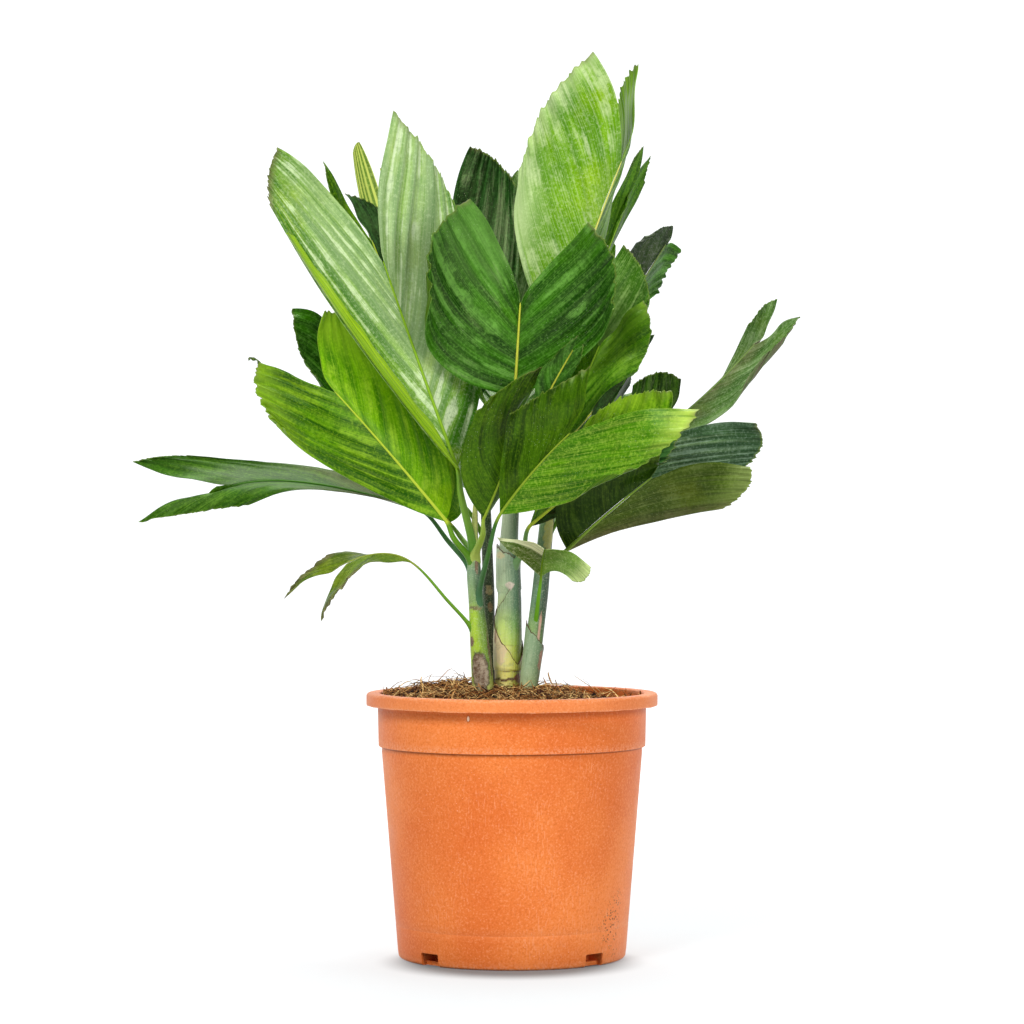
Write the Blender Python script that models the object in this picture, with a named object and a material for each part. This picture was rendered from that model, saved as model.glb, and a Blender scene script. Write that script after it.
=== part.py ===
"""Metallic palm (Chamaedorea metallica) in a plastic nursery pot.

Metres, +Z up. The origin is the middle of the pot's flat underside, and the
plant's best side faces -Y.
"""
import math

import bmesh
import bpy
from mathutils import Vector

MM = 0.001
GAP = 0.0003            # air between two pieces that touch
SEAT_STEP = 0.0001      # step by which a stalk's foot is moved out to its cane's skin

# Pot: a 21 cm nursery container
POT_HEIGHT = 0.190
RIM_RADIUS = 0.105      # outside of the lip, the widest place
LIP_DROP = 0.009        # height of the lip's skirt
COLLAR_FOOT = 0.1515    # height of the step under the collar
COLLAR_RADIUS = 0.0962  # outside of the collar at that step
COLLAR_DRAFT = 0.020    # radius it gains per metre of height
WALL_FOOT_RADIUS = 0.0819
WALL_DRAFT = 0.081
WALL = 0.0019
FLOOR = 0.0028
FOOT_ROUND = 0.0022
EDGE = 0.0011           # softening of the lip's edges
POT_SEGMENTS = 48
NOTCH_COUNT = 4
NOTCH_WIDTH = 0.017
NOTCH_HEIGHT = 0.009
NOTCH_DEPTH = 0.012

# Potting soil
SOIL_EDGE = 0.1845      # height at the wall
SOIL_MOUND = 0.0085     # how much higher it is at the stems
SOIL_HOLLOW = 0.0065    # how much lower it is at the back right
SOIL_LUMP = 0.0006
SOIL_RINGS = 5
MOUND_REACH = 0.8       # share of the radius that the mound covers
HOLLOW_START = 0.03     # how far towards the back right the hollow starts
HOLLOW_LENGTH = 0.09
HEAP_PLACE = (-0.042, -0.004)   # middle of the low heap left of the canes
HEAP_REACH = 0.036
HEAP_HEIGHT = 0.0045

# Canes: height, x, y and radius along each, in millimetres
CANE_SIDES = 12
CANES = {
    "cane_left": (
        (150, -19, -8, 6.6), (186, -20, -8, 7.0), (198, -21, -8, 7.8), (212, -22, -8, 7.6),
        (227, -23.5, -8, 6.8), (254, -25.5, -8, 5.6), (276, -27.5, -8, 5.3), (292, -27.5, -8, 4.2),
        (300, -27, -8, 2.6), (322, -26.5, -8, 2.0), (326, -26.5, -8, 1.2)),
    "cane_middle": (
        (150, -3, 8, 8.2), (188, -3, 8, 8.6), (194, -3, 8, 9.6), (199, -3, 8, 9.0), (206, -3, 8, 9.7),
        (227, -3, 8, 9.8), (256, -2, 8, 8.3), (282, -3, 8, 7.4), (309, -1.5, 8, 6.2),
        (350, 1, 8, 5.2), (385, 1, 9, 3.6), (400, 0, 10, 1.5)),
    "cane_right": (
        (150, 10, -6, 5.2), (190, 11.5, -6, 5.3), (203, 13, -6, 6.1), (227, 16, -6, 6.2),
        (260, 20, -5, 6.0), (312, 25, -4, 5.2), (345, 28, -2, 4.3), (368, 30, 0, 3.0), (382, 31, 1, 1.3)),
    "cane_back": (
        (150, -17, 27, 4.4), (190, -17, 27, 4.6), (196, -17, 27, 5.2), (202, -17, 27, 4.7),
        (260, -17, 28, 4.3), (320, -19, 31, 3.8), (352, -21, 34, 2.8), (366, -22, 35, 1.3)),
}

# Fronds
EYE_DISTANCE = 2400     # millimetres in front of the stems
EYE_HEIGHT = 320
BLADE = 0.0008          # thickness of a blade
STATIONS = 9            # along the midrib
NARROW_STATIONS = 7     # the same on a blade with short cut edges
NARROW_BLADE = 0.040    # how short those are
VEIN_STEPS = 3          # from the midrib to the cut edge
LONG_BLADE = 0.095      # a lobe whose corner is farther off takes one step more
STALK_STEPS = 4
STALK_SAMPLES = 24      # fine steps that the stalk's rings are picked from
STALK_END = 0.94        # where the last ring before the blade sits
STALK_RISE = 0.9        # how steeply a stalk leaves its cane, against the way it then takes
TOOTH = 0.0032          # depth of the cuts in the outer edge
TOOTH_SHARE = 0.05      # the same as a share of a short cut edge
TOOTH_OUT = 0.6         # how much of it stands out
RIB_BASE = 0.55         # half width of the midrib at the blade's base, of the stalk's girth
RIB_FORK = 0.0008       # half width of the midrib at the fork
RIB_RIDGE = 0.0006      # how far it stands out from the upper side
RIB_KEEL = 0.0011       # and from the lower side

# One row for each frond: its cane, the height of its root on the cane, the
# girth of its stalk, then points (x, height, depth) in millimetres, seen from
# the eye. The rib runs from the blade's base over a middle point to the fork.
# Each lobe has five points: the middle of its lower edge, the corner where the
# cut edge starts, the middle of the cut edge, the tip, and the middle of the
# edge that runs back to the fork.
FRONDS = {
    "frond_long_left": dict(
        cane="cane_left", root=274, girth=2.2, stalk=(-46, 299, -2),
        rib=((-68, 322, 2), (-146, 341, -5), (-202, 339, -15)),
        left=((-131, 338, -35), (-190, 325, -30), (-225, 320, -24), (-270, 313, -15), (-236, 331, -15)),
        right=((-117, 348, 20), (-231, 361, 0), (-254, 360, -6), (-274, 356, -10), (-240, 346, -12))),
    "frond_small_left": dict(
        cane="cane_left", root=226, girth=1.5, stalk=(-49, 259, -15),
        rib=((-73, 284, -22), (-94, 290, -32), (-120, 283, -42)),
        left=((-95, 287, -50), (-115, 275, -62), (-126, 262, -66), (-137, 241, -62), (-133, 264, -55)),
        right=((-101, 292, -15), (-131, 288, -22), (-149, 277, -36), (-165, 258, -45), (-140, 276, -42))),
    "frond_high_left": dict(
        cane="cane_left", root=290, girth=2.6, stalk=(-37, 333, -24),
        rib=((-40, 353, -32), (-67, 427, -42), (-93, 501, -50)),
        left=((-111, 443, -66), (-175, 542, -82), (-176, 563, -80), (-170, 583, -76), (-131, 553, -62)),
        right=((-19, 440, -8), (-40, 539, -14), (-58, 574, -24), (-85, 610, -38), (-95, 552, -46))),
    "frond_low_left": dict(
        cane="cane_left", root=281, girth=2.4, stalk=(-42, 301, -18),
        rib=((-48, 314, -20), (-88, 362, -42), (-128, 407, -62)),
        left=((-117, 345, -70), (-165, 379, -100), (-183, 403, -108), (-182, 428, -100), (-155, 420, -82)),
        right=((-48, 368, -5), (-97, 447, -15), (-117, 461, -28), (-136, 465, -42), (-137, 436, -52))),
    "frond_behind_left": dict(
        cane="cane_left", root=286, girth=2.0, stalk=(-38, 303, 12),
        rib=((-45, 312, 18), (-85, 368, 22), (-120, 436, 15)),
        left=((-95, 362, 10), (-137, 411, 0), (-154, 438, -5), (-158, 467, -5), (-135, 460, 5)),
        right=((-38, 345, 12), (-72, 420, 14), (-85, 452, 20), (-108, 470, 22), (-117, 455, 18))),
    "frond_point_left": dict(
        cane="cane_back", root=326, girth=1.8, stalk=None,
        rib=((-48, 398, 40), (-77, 458, 42), (-101, 516, 42)),
        left=((-92, 442, 34), (-122, 525, 34), (-131, 550, 32), (-136, 573, 30), (-119, 547, 36)),
        right=((-62, 480, 52), (-92, 534, 60), (-105, 545, 57), (-121, 549, 50), (-108, 535, 46))),
    "frond_striped": dict(
        cane="cane_back", root=352, girth=1.8, stalk=None,
        rib=((-52, 402, 68), (-74, 465, 84), (-88, 527, 98)),
        left=((-94, 494, 88), (-115, 579, 106), (-113, 585, 108), (-110, 587, 108), (-98, 560, 104)),
        right=((-62, 470, 96), (-80, 535, 120), (-86, 555, 118), (-96, 568, 114), (-90, 548, 106))),
    "frond_dark_top": dict(
        cane="cane_middle", root=372, girth=2.0, stalk=None,
        rib=((-22, 405, 45), (-36, 455, 62), (-45, 505, 75)),
        left=((-55, 455, 70), (-66, 520, 86), (-68, 538, 92), (-62, 552, 95), (-54, 530, 86)),
        right=((2, 475, 62), (2, 557, 88), (-11, 574, 94), (-30, 584, 92), (-42, 549, 84))),
    "frond_dark_narrow": dict(
        cane="cane_middle", root=380, girth=1.8, stalk=None,
        rib=((6, 418, 75), (0, 485, 106), (-3, 556, 122)),
        left=((-12, 480, 112), (-18, 540, 127), (-17, 552, 129), (-10, 560, 129), (-6, 560, 127)),
        right=((20, 500, 96), (12, 545, 118), (10, 558, 124), (4, 567, 127), (0, 562, 126))),
    "frond_front_high": dict(
        cane="cane_middle", root=352, girth=2.4, stalk=None,
        rib=((2, 404, -35), (4, 438, -42), (6, 471, -55)),
        left=((-49, 425, -48), (-61, 472, -80), (-56, 519, -82), (-30, 546, -68), (-9, 514, -56)),
        right=((45, 428, -50), (73, 466, -85), (74, 500, -86), (56, 529, -72), (29, 502, -58))),
    "frond_tallest": dict(
        cane="cane_middle", root=384, girth=2.6, stalk=None,
        rib=((32, 443, 8), (54, 507, 14), (79, 573, 15)),
        left=((7, 500, 15), (3, 560, 28), (21, 610, 18), (58, 652, -5), (75, 620, 0)),
        right=((71, 529, 50), (72, 606, 85), (79, 627, 62), (88, 643, 35), (89, 608, 28))),
    "frond_top_right": dict(
        cane="cane_right", root=370, girth=1.8, stalk=None,
        rib=((44, 440, 56), (62, 490, 76), (82, 541, 88)),
        left=((58, 502, 72), (86, 570, 84), (91, 579, 86), (95, 584, 88), (93, 565, 90)),
        right=((70, 496, 96), (92, 552, 106), (97, 565, 104), (99, 577, 100), (93, 560, 94))),
    "frond_purple": dict(
        cane="cane_right", root=360, girth=1.8, stalk=None,
        rib=((62, 428, 66), (86, 472, 88), (111, 513, 104)),
        left=((79, 494, 82), (101, 518, 100), (108, 525, 106), (116, 526, 112), (116, 520, 108)),
        right=((93, 464, 104), (103, 477, 120), (112, 493, 126), (121, 510, 122), (117, 513, 112))),
    "frond_mid_right": dict(
        cane="cane_right", root=352, girth=2.0, stalk=None,
        rib=((34, 388, -8), (44, 424, -14), (52, 463, -18)),
        left=((22, 440, -10), (33, 480, -12), (36, 495, -12), (46, 505, -14), (48, 484, -17)),
        right=((72, 418, -20), (99, 470, -28), (95, 493, -28), (80, 513, -24), (66, 490, -20))),
    "frond_curled": dict(
        cane="cane_right", root=330, girth=2.0, stalk=None,
        rib=((32, 364, -18), (47, 402, -30), (63, 440, -40)),
        left=((28, 405, -22), (40, 440, -28), (45, 455, -30), (57, 462, -32), (58, 452, -36)),
        right=((60, 400, -42), (88, 418, -48), (100, 447, -55), (94, 473, -48), (78, 459, -42))),
    "frond_sliver": dict(
        cane="cane_right", root=342, girth=1.4, stalk=None,
        rib=((56, 376, 30), (73, 400, 36), (86, 425, 40)),
        left=((66, 408, 30), (93, 440, 40), (98, 446, 40), (103, 448, 42), (97, 436, 43)),
        right=((72, 392, 44), (80, 405, 50), (85, 412, 51), (86, 418, 50), (87, 421, 46))),
    "frond_round_dark": dict(
        cane="cane_right", root=326, girth=1.8, stalk=None,
        rib=((46, 352, 22), (78, 362, 30), (102, 377, 38)),
        left=((75, 378, 24), (87, 411, 36), (105, 421, 46), (122, 416, 54), (118, 397, 48)),
        right=((85, 350, 40), (105, 352, 54), (117, 358, 60), (122, 368, 62), (113, 374, 50))),
    "frond_front_right": dict(
        cane="cane_left", root=251, girth=2.0, stalk=(-17, 290, -36),
        rib=((-8, 319, -48), (16, 350, -68), (42, 377, -88)),
        left=((-9, 356, -52), (-1, 392, -64), (24, 407, -76), (55, 426, -92), (51, 400, -96)),
        right=((30, 327, -86), (66, 345, -118), (108, 363, -134), (135, 395, -128), (87, 393, -112))),
    "frond_behind_right": dict(
        cane="cane_middle", root=272, girth=2.2, stalk=(8, 292, -6),
        rib=((14, 311, -20), (56, 344, -42), (96, 370, -58)),
        left=((30, 350, -36), (57, 388, -48), (85, 405, -60), (115, 407, -70), (112, 389, -66)),
        right=((44, 320, -32), (92, 346, -54), (112, 358, -68), (121, 378, -76), (108, 378, -68))),
    "frond_folded": dict(
        cane="cane_left", root=284, girth=1.9, stalk=(-21, 304, -30),
        rib=((-20, 316, -36), (-6, 350, -38), (6, 387, -42)),
        left=((-37, 351, -48), (-27, 389, -52), (-3, 412, -60), (28, 426, -62), (12, 403, -52)),
        right=((2, 345, -32), (15, 376, -36), (20, 388, -40), (22, 400, -46), (14, 396, -45))),
    "frond_low_right": dict(
        cane="cane_right", root=279, girth=2.4, stalk=None,
        rib=((40, 293, -30), (69, 319, -52), (101, 345, -72)),
        left=((31, 325, -38), (50, 352, -50), (78, 362, -68), (107, 361, -82), (105, 353, -77)),
        right=((98, 310, -58), (151, 323, -95), (170, 337, -105), (172, 353, -100), (136, 355, -92))),
    "frond_blue_right": dict(
        cane="cane_right", root=296, girth=1.8, stalk=None,
        rib=((40, 322, -2), (68, 350, -2), (100, 368, -8)),
        left=((58, 370, 10), (85, 392, 13), (100, 398, 10), (112, 392, 4), (108, 382, 0)),
        right=((105, 338, -8), (165, 350, -35), (180, 367, -40), (176, 384, -38), (139, 382, -25))),
    "frond_far_right": dict(
        cane="cane_right", root=310, girth=1.7, stalk=(60, 338, 26),
        rib=((104, 376, 26), (137, 402, 24), (175, 441, 12)),
        left=((144, 413, 34), (170, 453, 26), (180, 467, 18), (191, 474, 10), (183, 455, 10)),
        right=((146, 391, -2), (181, 433, -8), (199, 449, -12), (207, 462, -10), (190, 454, 0))),
    "frond_crumpled": dict(
        cane="cane_middle", root=316, girth=1.3, stalk=(24, 350, -28),
        rib=((20, 393, -54), (32, 416, -64), (44, 437, -72)),
        left=((17, 414, -60), (29, 430, -68), (37, 439, -74), (48, 447, -80), (46, 442, -76)),
        right=((36, 409, -62), (47, 424, -72), (50, 432, -78), (51, 441, -80), (48, 439, -76))),
    "frond_torn": dict(
        cane="cane_right", root=236, girth=1.6, stalk=(19, 257, -16),
        rib=((21, 274, -22), (22, 285, -32), (24, 293, -45)),
        left=((4, 287, -34), (-3, 293, -40), (-8, 298, -38), (-11, 302, -32), (7, 299, -44)),
        right=((32, 277, -38), (44, 270, -55), (53, 271, -62), (57, 280, -62), (42, 290, -55))),
    "frond_back_left": dict(
        cane="cane_back", root=330, girth=2.0, stalk=None,
        rib=((-34, 372, 72), (-50, 402, 98), (-62, 430, 125)),
        left=((-75, 395, 92), (-105, 430, 128), (-108, 452, 145), (-98, 470, 152), (-78, 452, 142)),
        right=((-32, 428, 96), (-30, 465, 132), (-42, 484, 150), (-60, 492, 160), (-62, 462, 145))),
    "frond_back_middle": dict(
        cane="cane_middle", root=342, girth=2.0, stalk=None,
        rib=((-2, 385, 62), (2, 412, 98), (5, 438, 135)),
        left=((-28, 412, 100), (-30, 452, 148), (-24, 472, 165), (-10, 484, 172), (0, 462, 156)),
        right=((30, 410, 98), (42, 448, 142), (40, 470, 160), (28, 482, 168), (14, 460, 154))),
    "frond_back_high": dict(
        cane="cane_middle", root=364, girth=2.0, stalk=None,
        rib=((26, 418, 84), (42, 464, 114), (54, 508, 134)),
        left=((16, 474, 116), (24, 525, 142), (32, 545, 148), (46, 556, 150), (48, 532, 142)),
        right=((62, 470, 132), (74, 504, 152), (72, 522, 156), (62, 540, 154), (59, 524, 144))),
    "frond_back_right": dict(
        cane="cane_right", root=334, girth=2.0, stalk=None,
        rib=((40, 372, 45), (56, 390, 76), (70, 405, 105)),
        left=((44, 418, 75), (62, 446, 110), (74, 456, 124), (86, 460, 132), (80, 432, 120)),
        right=((74, 374, 80), (100, 382, 114), (108, 396, 128), (104, 410, 136), (88, 408, 122))),
    "frond_back_low_left": dict(
        cane="cane_back", root=292, girth=1.8, stalk=None,
        rib=((-42, 330, 52), (-70, 344, 78), (-95, 356, 100)),
        left=((-80, 344, 82), (-120, 364, 122), (-130, 374, 132), (-135, 386, 138), (-116, 372, 122)),
        right=((-62, 366, 64), (-84, 398, 98), (-100, 408, 114), (-118, 408, 128), (-108, 384, 116))),
    "frond_back_low_right": dict(
        cane="cane_right", root=290, girth=1.8, stalk=None,
        rib=((40, 322, 40), (64, 336, 70), (85, 345, 98)),
        left=((58, 352, 60), (75, 376, 96), (90, 384, 110), (105, 385, 122), (96, 366, 112)),
        right=((74, 328, 76), (105, 338, 116), (114, 350, 128), (118, 362, 134), (102, 354, 118))),
    "frond_back_low": dict(
        cane="cane_middle", root=300, girth=1.8, stalk=None,
        rib=((-4, 336, 55), (-5, 346, 95), (-5, 352, 132)),
        left=((-34, 340, 95), (-44, 350, 140), (-40, 358, 162), (-26, 364, 176), (-14, 358, 154)),
        right=((28, 337, 95), (38, 346, 140), (34, 356, 162), (20, 364, 174), (6, 358, 152))),
}

COLOURS = {
    "plastic": ((0.60, 0.17, 0.055), 0.45),
    "soil": ((0.09, 0.05, 0.03), 0.95),
    "cane": ((0.20, 0.32, 0.16), 0.5),
    "leaf": ((0.06, 0.22, 0.02), 0.35),
    "bright_leaf": ((0.18, 0.40, 0.04), 0.35),
    "dark_leaf": ((0.02, 0.09, 0.02), 0.4),
}
BRIGHT = ("frond_high_left", "frond_low_left", "frond_tallest", "frond_striped", "frond_front_right",
          "frond_torn")
DARK = ("frond_behind_left", "frond_dark_top", "frond_dark_narrow", "frond_purple", "frond_round_dark",
        "frond_blue_right", "frond_crumpled", "frond_point_left")


def clear_scene():
    for obj in list(bpy.data.objects):
        bpy.data.objects.remove(obj, do_unlink=True)


def material(name):
    """A Principled material in the colour and roughness that the piece shows."""
    found = bpy.data.materials.get(name)
    if found:
        return found
    colour, roughness = COLOURS[name]
    made = bpy.data.materials.new(name)
    made.use_nodes = True
    shader = made.node_tree.nodes["Principled BSDF"]
    shader.inputs["Base Color"].default_value = (*colour, 1.0)
    shader.inputs["Roughness"].default_value = roughness
    shader.inputs["Metallic"].default_value = 0.0
    made.diffuse_color = (*colour, 1.0)
    return made


def add_object(name, bm, finish, parent, location=(0, 0, 0)):
    """Turn a bmesh given in world coordinates into an object placed at location."""
    bmesh.ops.translate(bm, verts=bm.verts, vec=-Vector(location))
    bmesh.ops.recalc_face_normals(bm, faces=bm.faces)
    mesh = bpy.data.meshes.new(name)
    bm.to_mesh(mesh)
    bm.free()
    mesh.materials.append(material(finish))
    obj = bpy.data.objects.new(name, mesh)
    obj.location = location
    obj.parent = parent
    bpy.context.scene.collection.objects.link(obj)
    return obj


def wall_radius(height):
    """Outer radius of the tapering wall and, above the step, of the collar."""
    if height > COLLAR_FOOT:
        return COLLAR_RADIUS + COLLAR_DRAFT * (height - COLLAR_FOOT)
    return WALL_FOOT_RADIUS + WALL_DRAFT * height


def cavity_radius(height):
    """Inner radius of the pot."""
    return wall_radius(height) - WALL


def pot_profile():
    """Half section of the pot, from the middle of the underside round to the floor inside."""
    lip_foot = POT_HEIGHT - LIP_DROP
    return [
        (0.0, 0.0),
        (wall_radius(0) - FOOT_ROUND, 0.0),
        (wall_radius(0) - FOOT_ROUND * 0.3, FOOT_ROUND * 0.3),
        (wall_radius(FOOT_ROUND), FOOT_ROUND),
        (wall_radius(COLLAR_FOOT), COLLAR_FOOT - EDGE),
        (COLLAR_RADIUS, COLLAR_FOOT),
        (wall_radius(POT_HEIGHT), POT_HEIGHT - WALL - EDGE),
        (wall_radius(POT_HEIGHT) + EDGE, POT_HEIGHT - WALL),
        (RIM_RADIUS - WALL - EDGE, POT_HEIGHT - WALL - EDGE),
        (RIM_RADIUS - WALL, lip_foot),
        (RIM_RADIUS, lip_foot),
        (RIM_RADIUS, POT_HEIGHT - EDGE * 1.5),
        (RIM_RADIUS - EDGE, POT_HEIGHT - EDGE * 0.3),
        (RIM_RADIUS - 2 * EDGE, POT_HEIGHT),
        (wall_radius(POT_HEIGHT), POT_HEIGHT),
        (cavity_radius(POT_HEIGHT), POT_HEIGHT - WALL),
        (cavity_radius(COLLAR_FOOT + WALL), COLLAR_FOOT + WALL),
        (cavity_radius(COLLAR_FOOT), COLLAR_FOOT),
        (cavity_radius(FLOOR + FOOT_ROUND), FLOOR + FOOT_ROUND),
        (cavity_radius(FLOOR) - FOOT_ROUND, FLOOR),
        (0.0, FLOOR),
    ]


def spin(profile, segments):
    """Turn a half section round the Z axis into a closed body."""
    bm = bmesh.new()
    verts = [bm.verts.new((r, 0.0, z)) for r, z in profile]
    edges = [bm.edges.new(pair) for pair in zip(verts, verts[1:])]
    bmesh.ops.spin(bm, geom=verts + edges, cent=(0, 0, 0), axis=(0, 0, 1),
                   angle=math.tau, steps=segments, use_merge=True)
    bmesh.ops.remove_doubles(bm, verts=bm.verts, dist=1e-6)
    return bm


def cut(target, cutter):
    """Subtract a hidden cutter from an object."""
    cutter.hide_render = True
    cutter.display_type = "WIRE"
    modifier = target.modifiers.new("cut_" + cutter.name, "BOOLEAN")
    modifier.operation = "DIFFERENCE"
    modifier.solver = "EXACT"
    modifier.object = cutter


def make_pot(parent):
    pot = add_object("pot", spin(pot_profile(), POT_SEGMENTS), "plastic", parent)
    pot.data.shade_smooth()
    pot.data.set_sharp_from_angle(angle=math.radians(35))
    for index in range(NOTCH_COUNT):
        angle = math.tau * (index + 0.5) / NOTCH_COUNT
        bm = bmesh.new()
        bmesh.ops.create_cube(bm, size=1.0)
        bmesh.ops.scale(bm, verts=bm.verts, vec=(NOTCH_DEPTH, NOTCH_WIDTH, 2 * NOTCH_HEIGHT))
        notch = add_object(f"notch_cutter_{index + 1}", bm, "plastic", parent)
        reach = WALL_FOOT_RADIUS
        notch.location = (reach * math.cos(angle), reach * math.sin(angle), 0)
        notch.rotation_euler = (0, 0, angle)
        cut(pot, notch)
    return pot


def soil_height(x, y):
    """Mounded at the stems, heaped to their left, lower at the back right, with small lumps."""
    radius = math.hypot(x, y) / cavity_radius(SOIL_EDGE)
    mound = SOIL_MOUND * max(0.0, 1 - (radius / MOUND_REACH) ** 2)
    hollow = SOIL_HOLLOW * max(0.0, x + y - HOLLOW_START) / HOLLOW_LENGTH
    lumps = math.sin(310 * x + 1.3) * math.cos(270 * y) + math.sin(190 * (x - y))
    off = math.hypot(x - HEAP_PLACE[0], y - HEAP_PLACE[1]) / HEAP_REACH
    return SOIL_EDGE + mound - hollow + SOIL_LUMP * lumps + HEAP_HEIGHT * math.exp(-off ** 2)


def circle(bm, radius, height):
    """A ring of new vertices; height is a number, or a function of x and y."""
    loop = []
    for step in range(POT_SEGMENTS):
        angle = math.tau * step / POT_SEGMENTS
        x, y = radius * math.cos(angle), radius * math.sin(angle)
        loop.append(bm.verts.new((x, y, height(x, y) if callable(height) else height)))
    return loop


def make_soil(parent):
    bm = bmesh.new()
    rim = cavity_radius(SOIL_EDGE) - GAP
    rings = [circle(bm, rim * ring / SOIL_RINGS, soil_height) for ring in range(1, SOIL_RINGS + 1)]
    for height in (COLLAR_FOOT + WALL + GAP, COLLAR_FOOT, FLOOR + FOOT_ROUND + GAP):
        rings.append(circle(bm, cavity_radius(height) - 2 * GAP, height))
    rings.append(circle(bm, cavity_radius(FLOOR) - FOOT_ROUND - GAP, FLOOR + GAP))
    top = bm.verts.new((0, 0, soil_height(0, 0)))
    bottom = bm.verts.new((0, 0, FLOOR + GAP))
    for step in range(POT_SEGMENTS):
        after = (step + 1) % POT_SEGMENTS
        bm.faces.new((top, rings[0][step], rings[0][after]))
        bm.faces.new((bottom, rings[-1][after], rings[-1][step]))
        for inner, outer in zip(rings, rings[1:]):
            bm.faces.new((inner[step], outer[step], outer[after], inner[after]))
    bmesh.ops.triangulate(bm, faces=bm.faces)
    soil = add_object("soil", bm, "soil", parent)
    for name in CANES:
        cutter = add_object(name + "_hole", cane_mesh(name, GAP), "soil", parent)
        cut(soil, cutter)
    return soil


def cane_point(name, height):
    """Middle and radius of a cane at a height, all in metres."""
    rows = CANES[name]
    height = height / MM
    for low, high in zip(rows, rows[1:]):
        if height <= high[0]:
            break
    share = (height - low[0]) / (high[0] - low[0])
    share = min(max(share, 0.0), 1.0)
    x, y, radius = (low[i] + share * (high[i] - low[i]) for i in (1, 2, 3))
    return Vector((x * MM, y * MM, height * MM)), radius * MM


def cane_mesh(name, swell=0.0):
    """A closed tube of rings along the cane, made wider by swell."""
    bm = bmesh.new()
    loops = []
    rows = list(CANES[name])
    for index, (height, x, y, radius) in enumerate(rows):
        lift = swell if index == len(rows) - 1 else -swell if index == 0 else 0.0
        reach = radius * MM + swell
        loops.append([bm.verts.new((x * MM + reach * math.cos(math.tau * step / CANE_SIDES),
                                    y * MM + reach * math.sin(math.tau * step / CANE_SIDES),
                                    height * MM + lift))
                      for step in range(CANE_SIDES)])
    for low, high in zip(loops, loops[1:]):
        for step in range(CANE_SIDES):
            after = (step + 1) % CANE_SIDES
            bm.faces.new((low[step], low[after], high[after], high[step]))
    bm.faces.new(loops[0])
    bm.faces.new(loops[-1])
    bmesh.ops.triangulate(bm, faces=bm.faces)
    return bm


def make_canes(parent):
    for name in CANES:
        cane = add_object(name, cane_mesh(name), "cane", parent)
        cane.data.shade_smooth()
        cane.data.set_sharp_from_angle(angle=math.radians(50))


def seen(point):
    """World place of a point that the eye sees at x and height on the stems' plane."""
    x, height, depth = point
    scale = (EYE_DISTANCE + depth) / EYE_DISTANCE
    return Vector((x * scale, depth, EYE_HEIGHT + (height - EYE_HEIGHT) * scale)) * MM


def arc(start, middle, end, t):
    """Point of the parabola that runs through three points."""
    control = 2 * middle - (start + end) / 2
    return (1 - t) ** 2 * start + 2 * t * (1 - t) * control + t * t * end


class Lobe:
    """One half of a blade, a Coons patch: s runs up the midrib and t out along the veins."""

    def __init__(self, rib, edge, rib_width):
        self.rib = rib
        self.belly, self.corner, self.crown, self.tip, self.inner = edge
        self.rib_width = rib_width

    def rib_line(self, s):
        return arc(*self.rib, s)

    def cut_edge(self, s):
        return arc(self.corner, self.crown, self.tip, s)

    def seam(self, s):
        """Where the blade leaves the midrib, half a rib's width from its middle."""
        middle = self.rib_line(s)
        along = (self.rib_line(min(s + 0.02, 1.0)) - self.rib_line(max(s - 0.02, 0.0))).normalized()
        across = arc(self.belly, self.cut_edge(0.5), self.inner, s) - middle
        across = (across - across.dot(along) * along).normalized()
        return middle + across * self.rib_width(s)

    def point(self, s, t):
        base, fork = self.seam(0.0), self.seam(1.0)
        sides = (1 - t) * self.seam(s) + t * self.cut_edge(s)
        ends = (1 - s) * arc(base, self.belly, self.corner, t) + s * arc(fork, self.inner, self.tip, t)
        corners = ((1 - s) * ((1 - t) * base + t * self.corner)
                   + s * ((1 - t) * fork + t * self.tip))
        return sides + ends - corners

    def normal(self, s, t, sign):
        step = 0.01
        up = self.point(min(s + step, 1), t) - self.point(max(s - step, 0), t)
        out = self.point(s, min(t + step, 1)) - self.point(s, max(t - step, 0))
        return up.cross(out).normalized() * sign

    def place(self, s, t, station):
        """Point of the blade, with every second station of the cut edge drawn out into a tooth."""
        place = self.point(s, t)
        if t == 1 and 0 < s < 1:
            vein = (place - self.point(s, 0.9)).normalized()
            depth = min(TOOTH, TOOTH_SHARE * (self.tip - self.corner).length)
            place += vein * depth * (TOOTH_OUT if station % 2 else TOOTH_OUT - 1)
        return place


def stalk_path(design, base, ahead):
    """Points from the cane's middle at the stalk's root to the blade's base."""
    start, _ = cane_point(design["cane"], design["root"] * MM)
    through = [start, seen(design["stalk"]), base] if design["stalk"] else [start, base]
    first = (through[1] - start).normalized()
    slopes = [(first + Vector((0, 0, STALK_RISE))).normalized(), ahead]
    if design["stalk"]:
        slopes.insert(1, (base - start).normalized())
    points = []
    for a, b, slope_a, slope_b in zip(through, through[1:], slopes, slopes[1:]):
        reach = (b - a).length
        for step in range(STALK_SAMPLES):
            points.append(hermite(a, slope_a * reach, b, slope_b * reach, step / STALK_SAMPLES))
    return points + [base]


def hermite(a, slope_a, b, slope_b, t):
    return ((2 * t ** 3 - 3 * t ** 2 + 1) * a + (t ** 3 - 2 * t ** 2 + t) * slope_a
            + (3 * t ** 2 - 2 * t ** 3) * b + (t ** 3 - t ** 2) * slope_b)


def clear_of_cane(name, place):
    """Distance of a point from the cane's skin."""
    middle, radius = cane_point(name, place.z)
    flat = place - middle
    flat.z = 0
    return flat.length - radius


def seat(name, place, direction):
    """Slide a point out along direction until it is GAP clear of the cane."""
    while clear_of_cane(name, place) < GAP * 1.2:
        place = place + direction * SEAT_STEP
    return place


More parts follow.
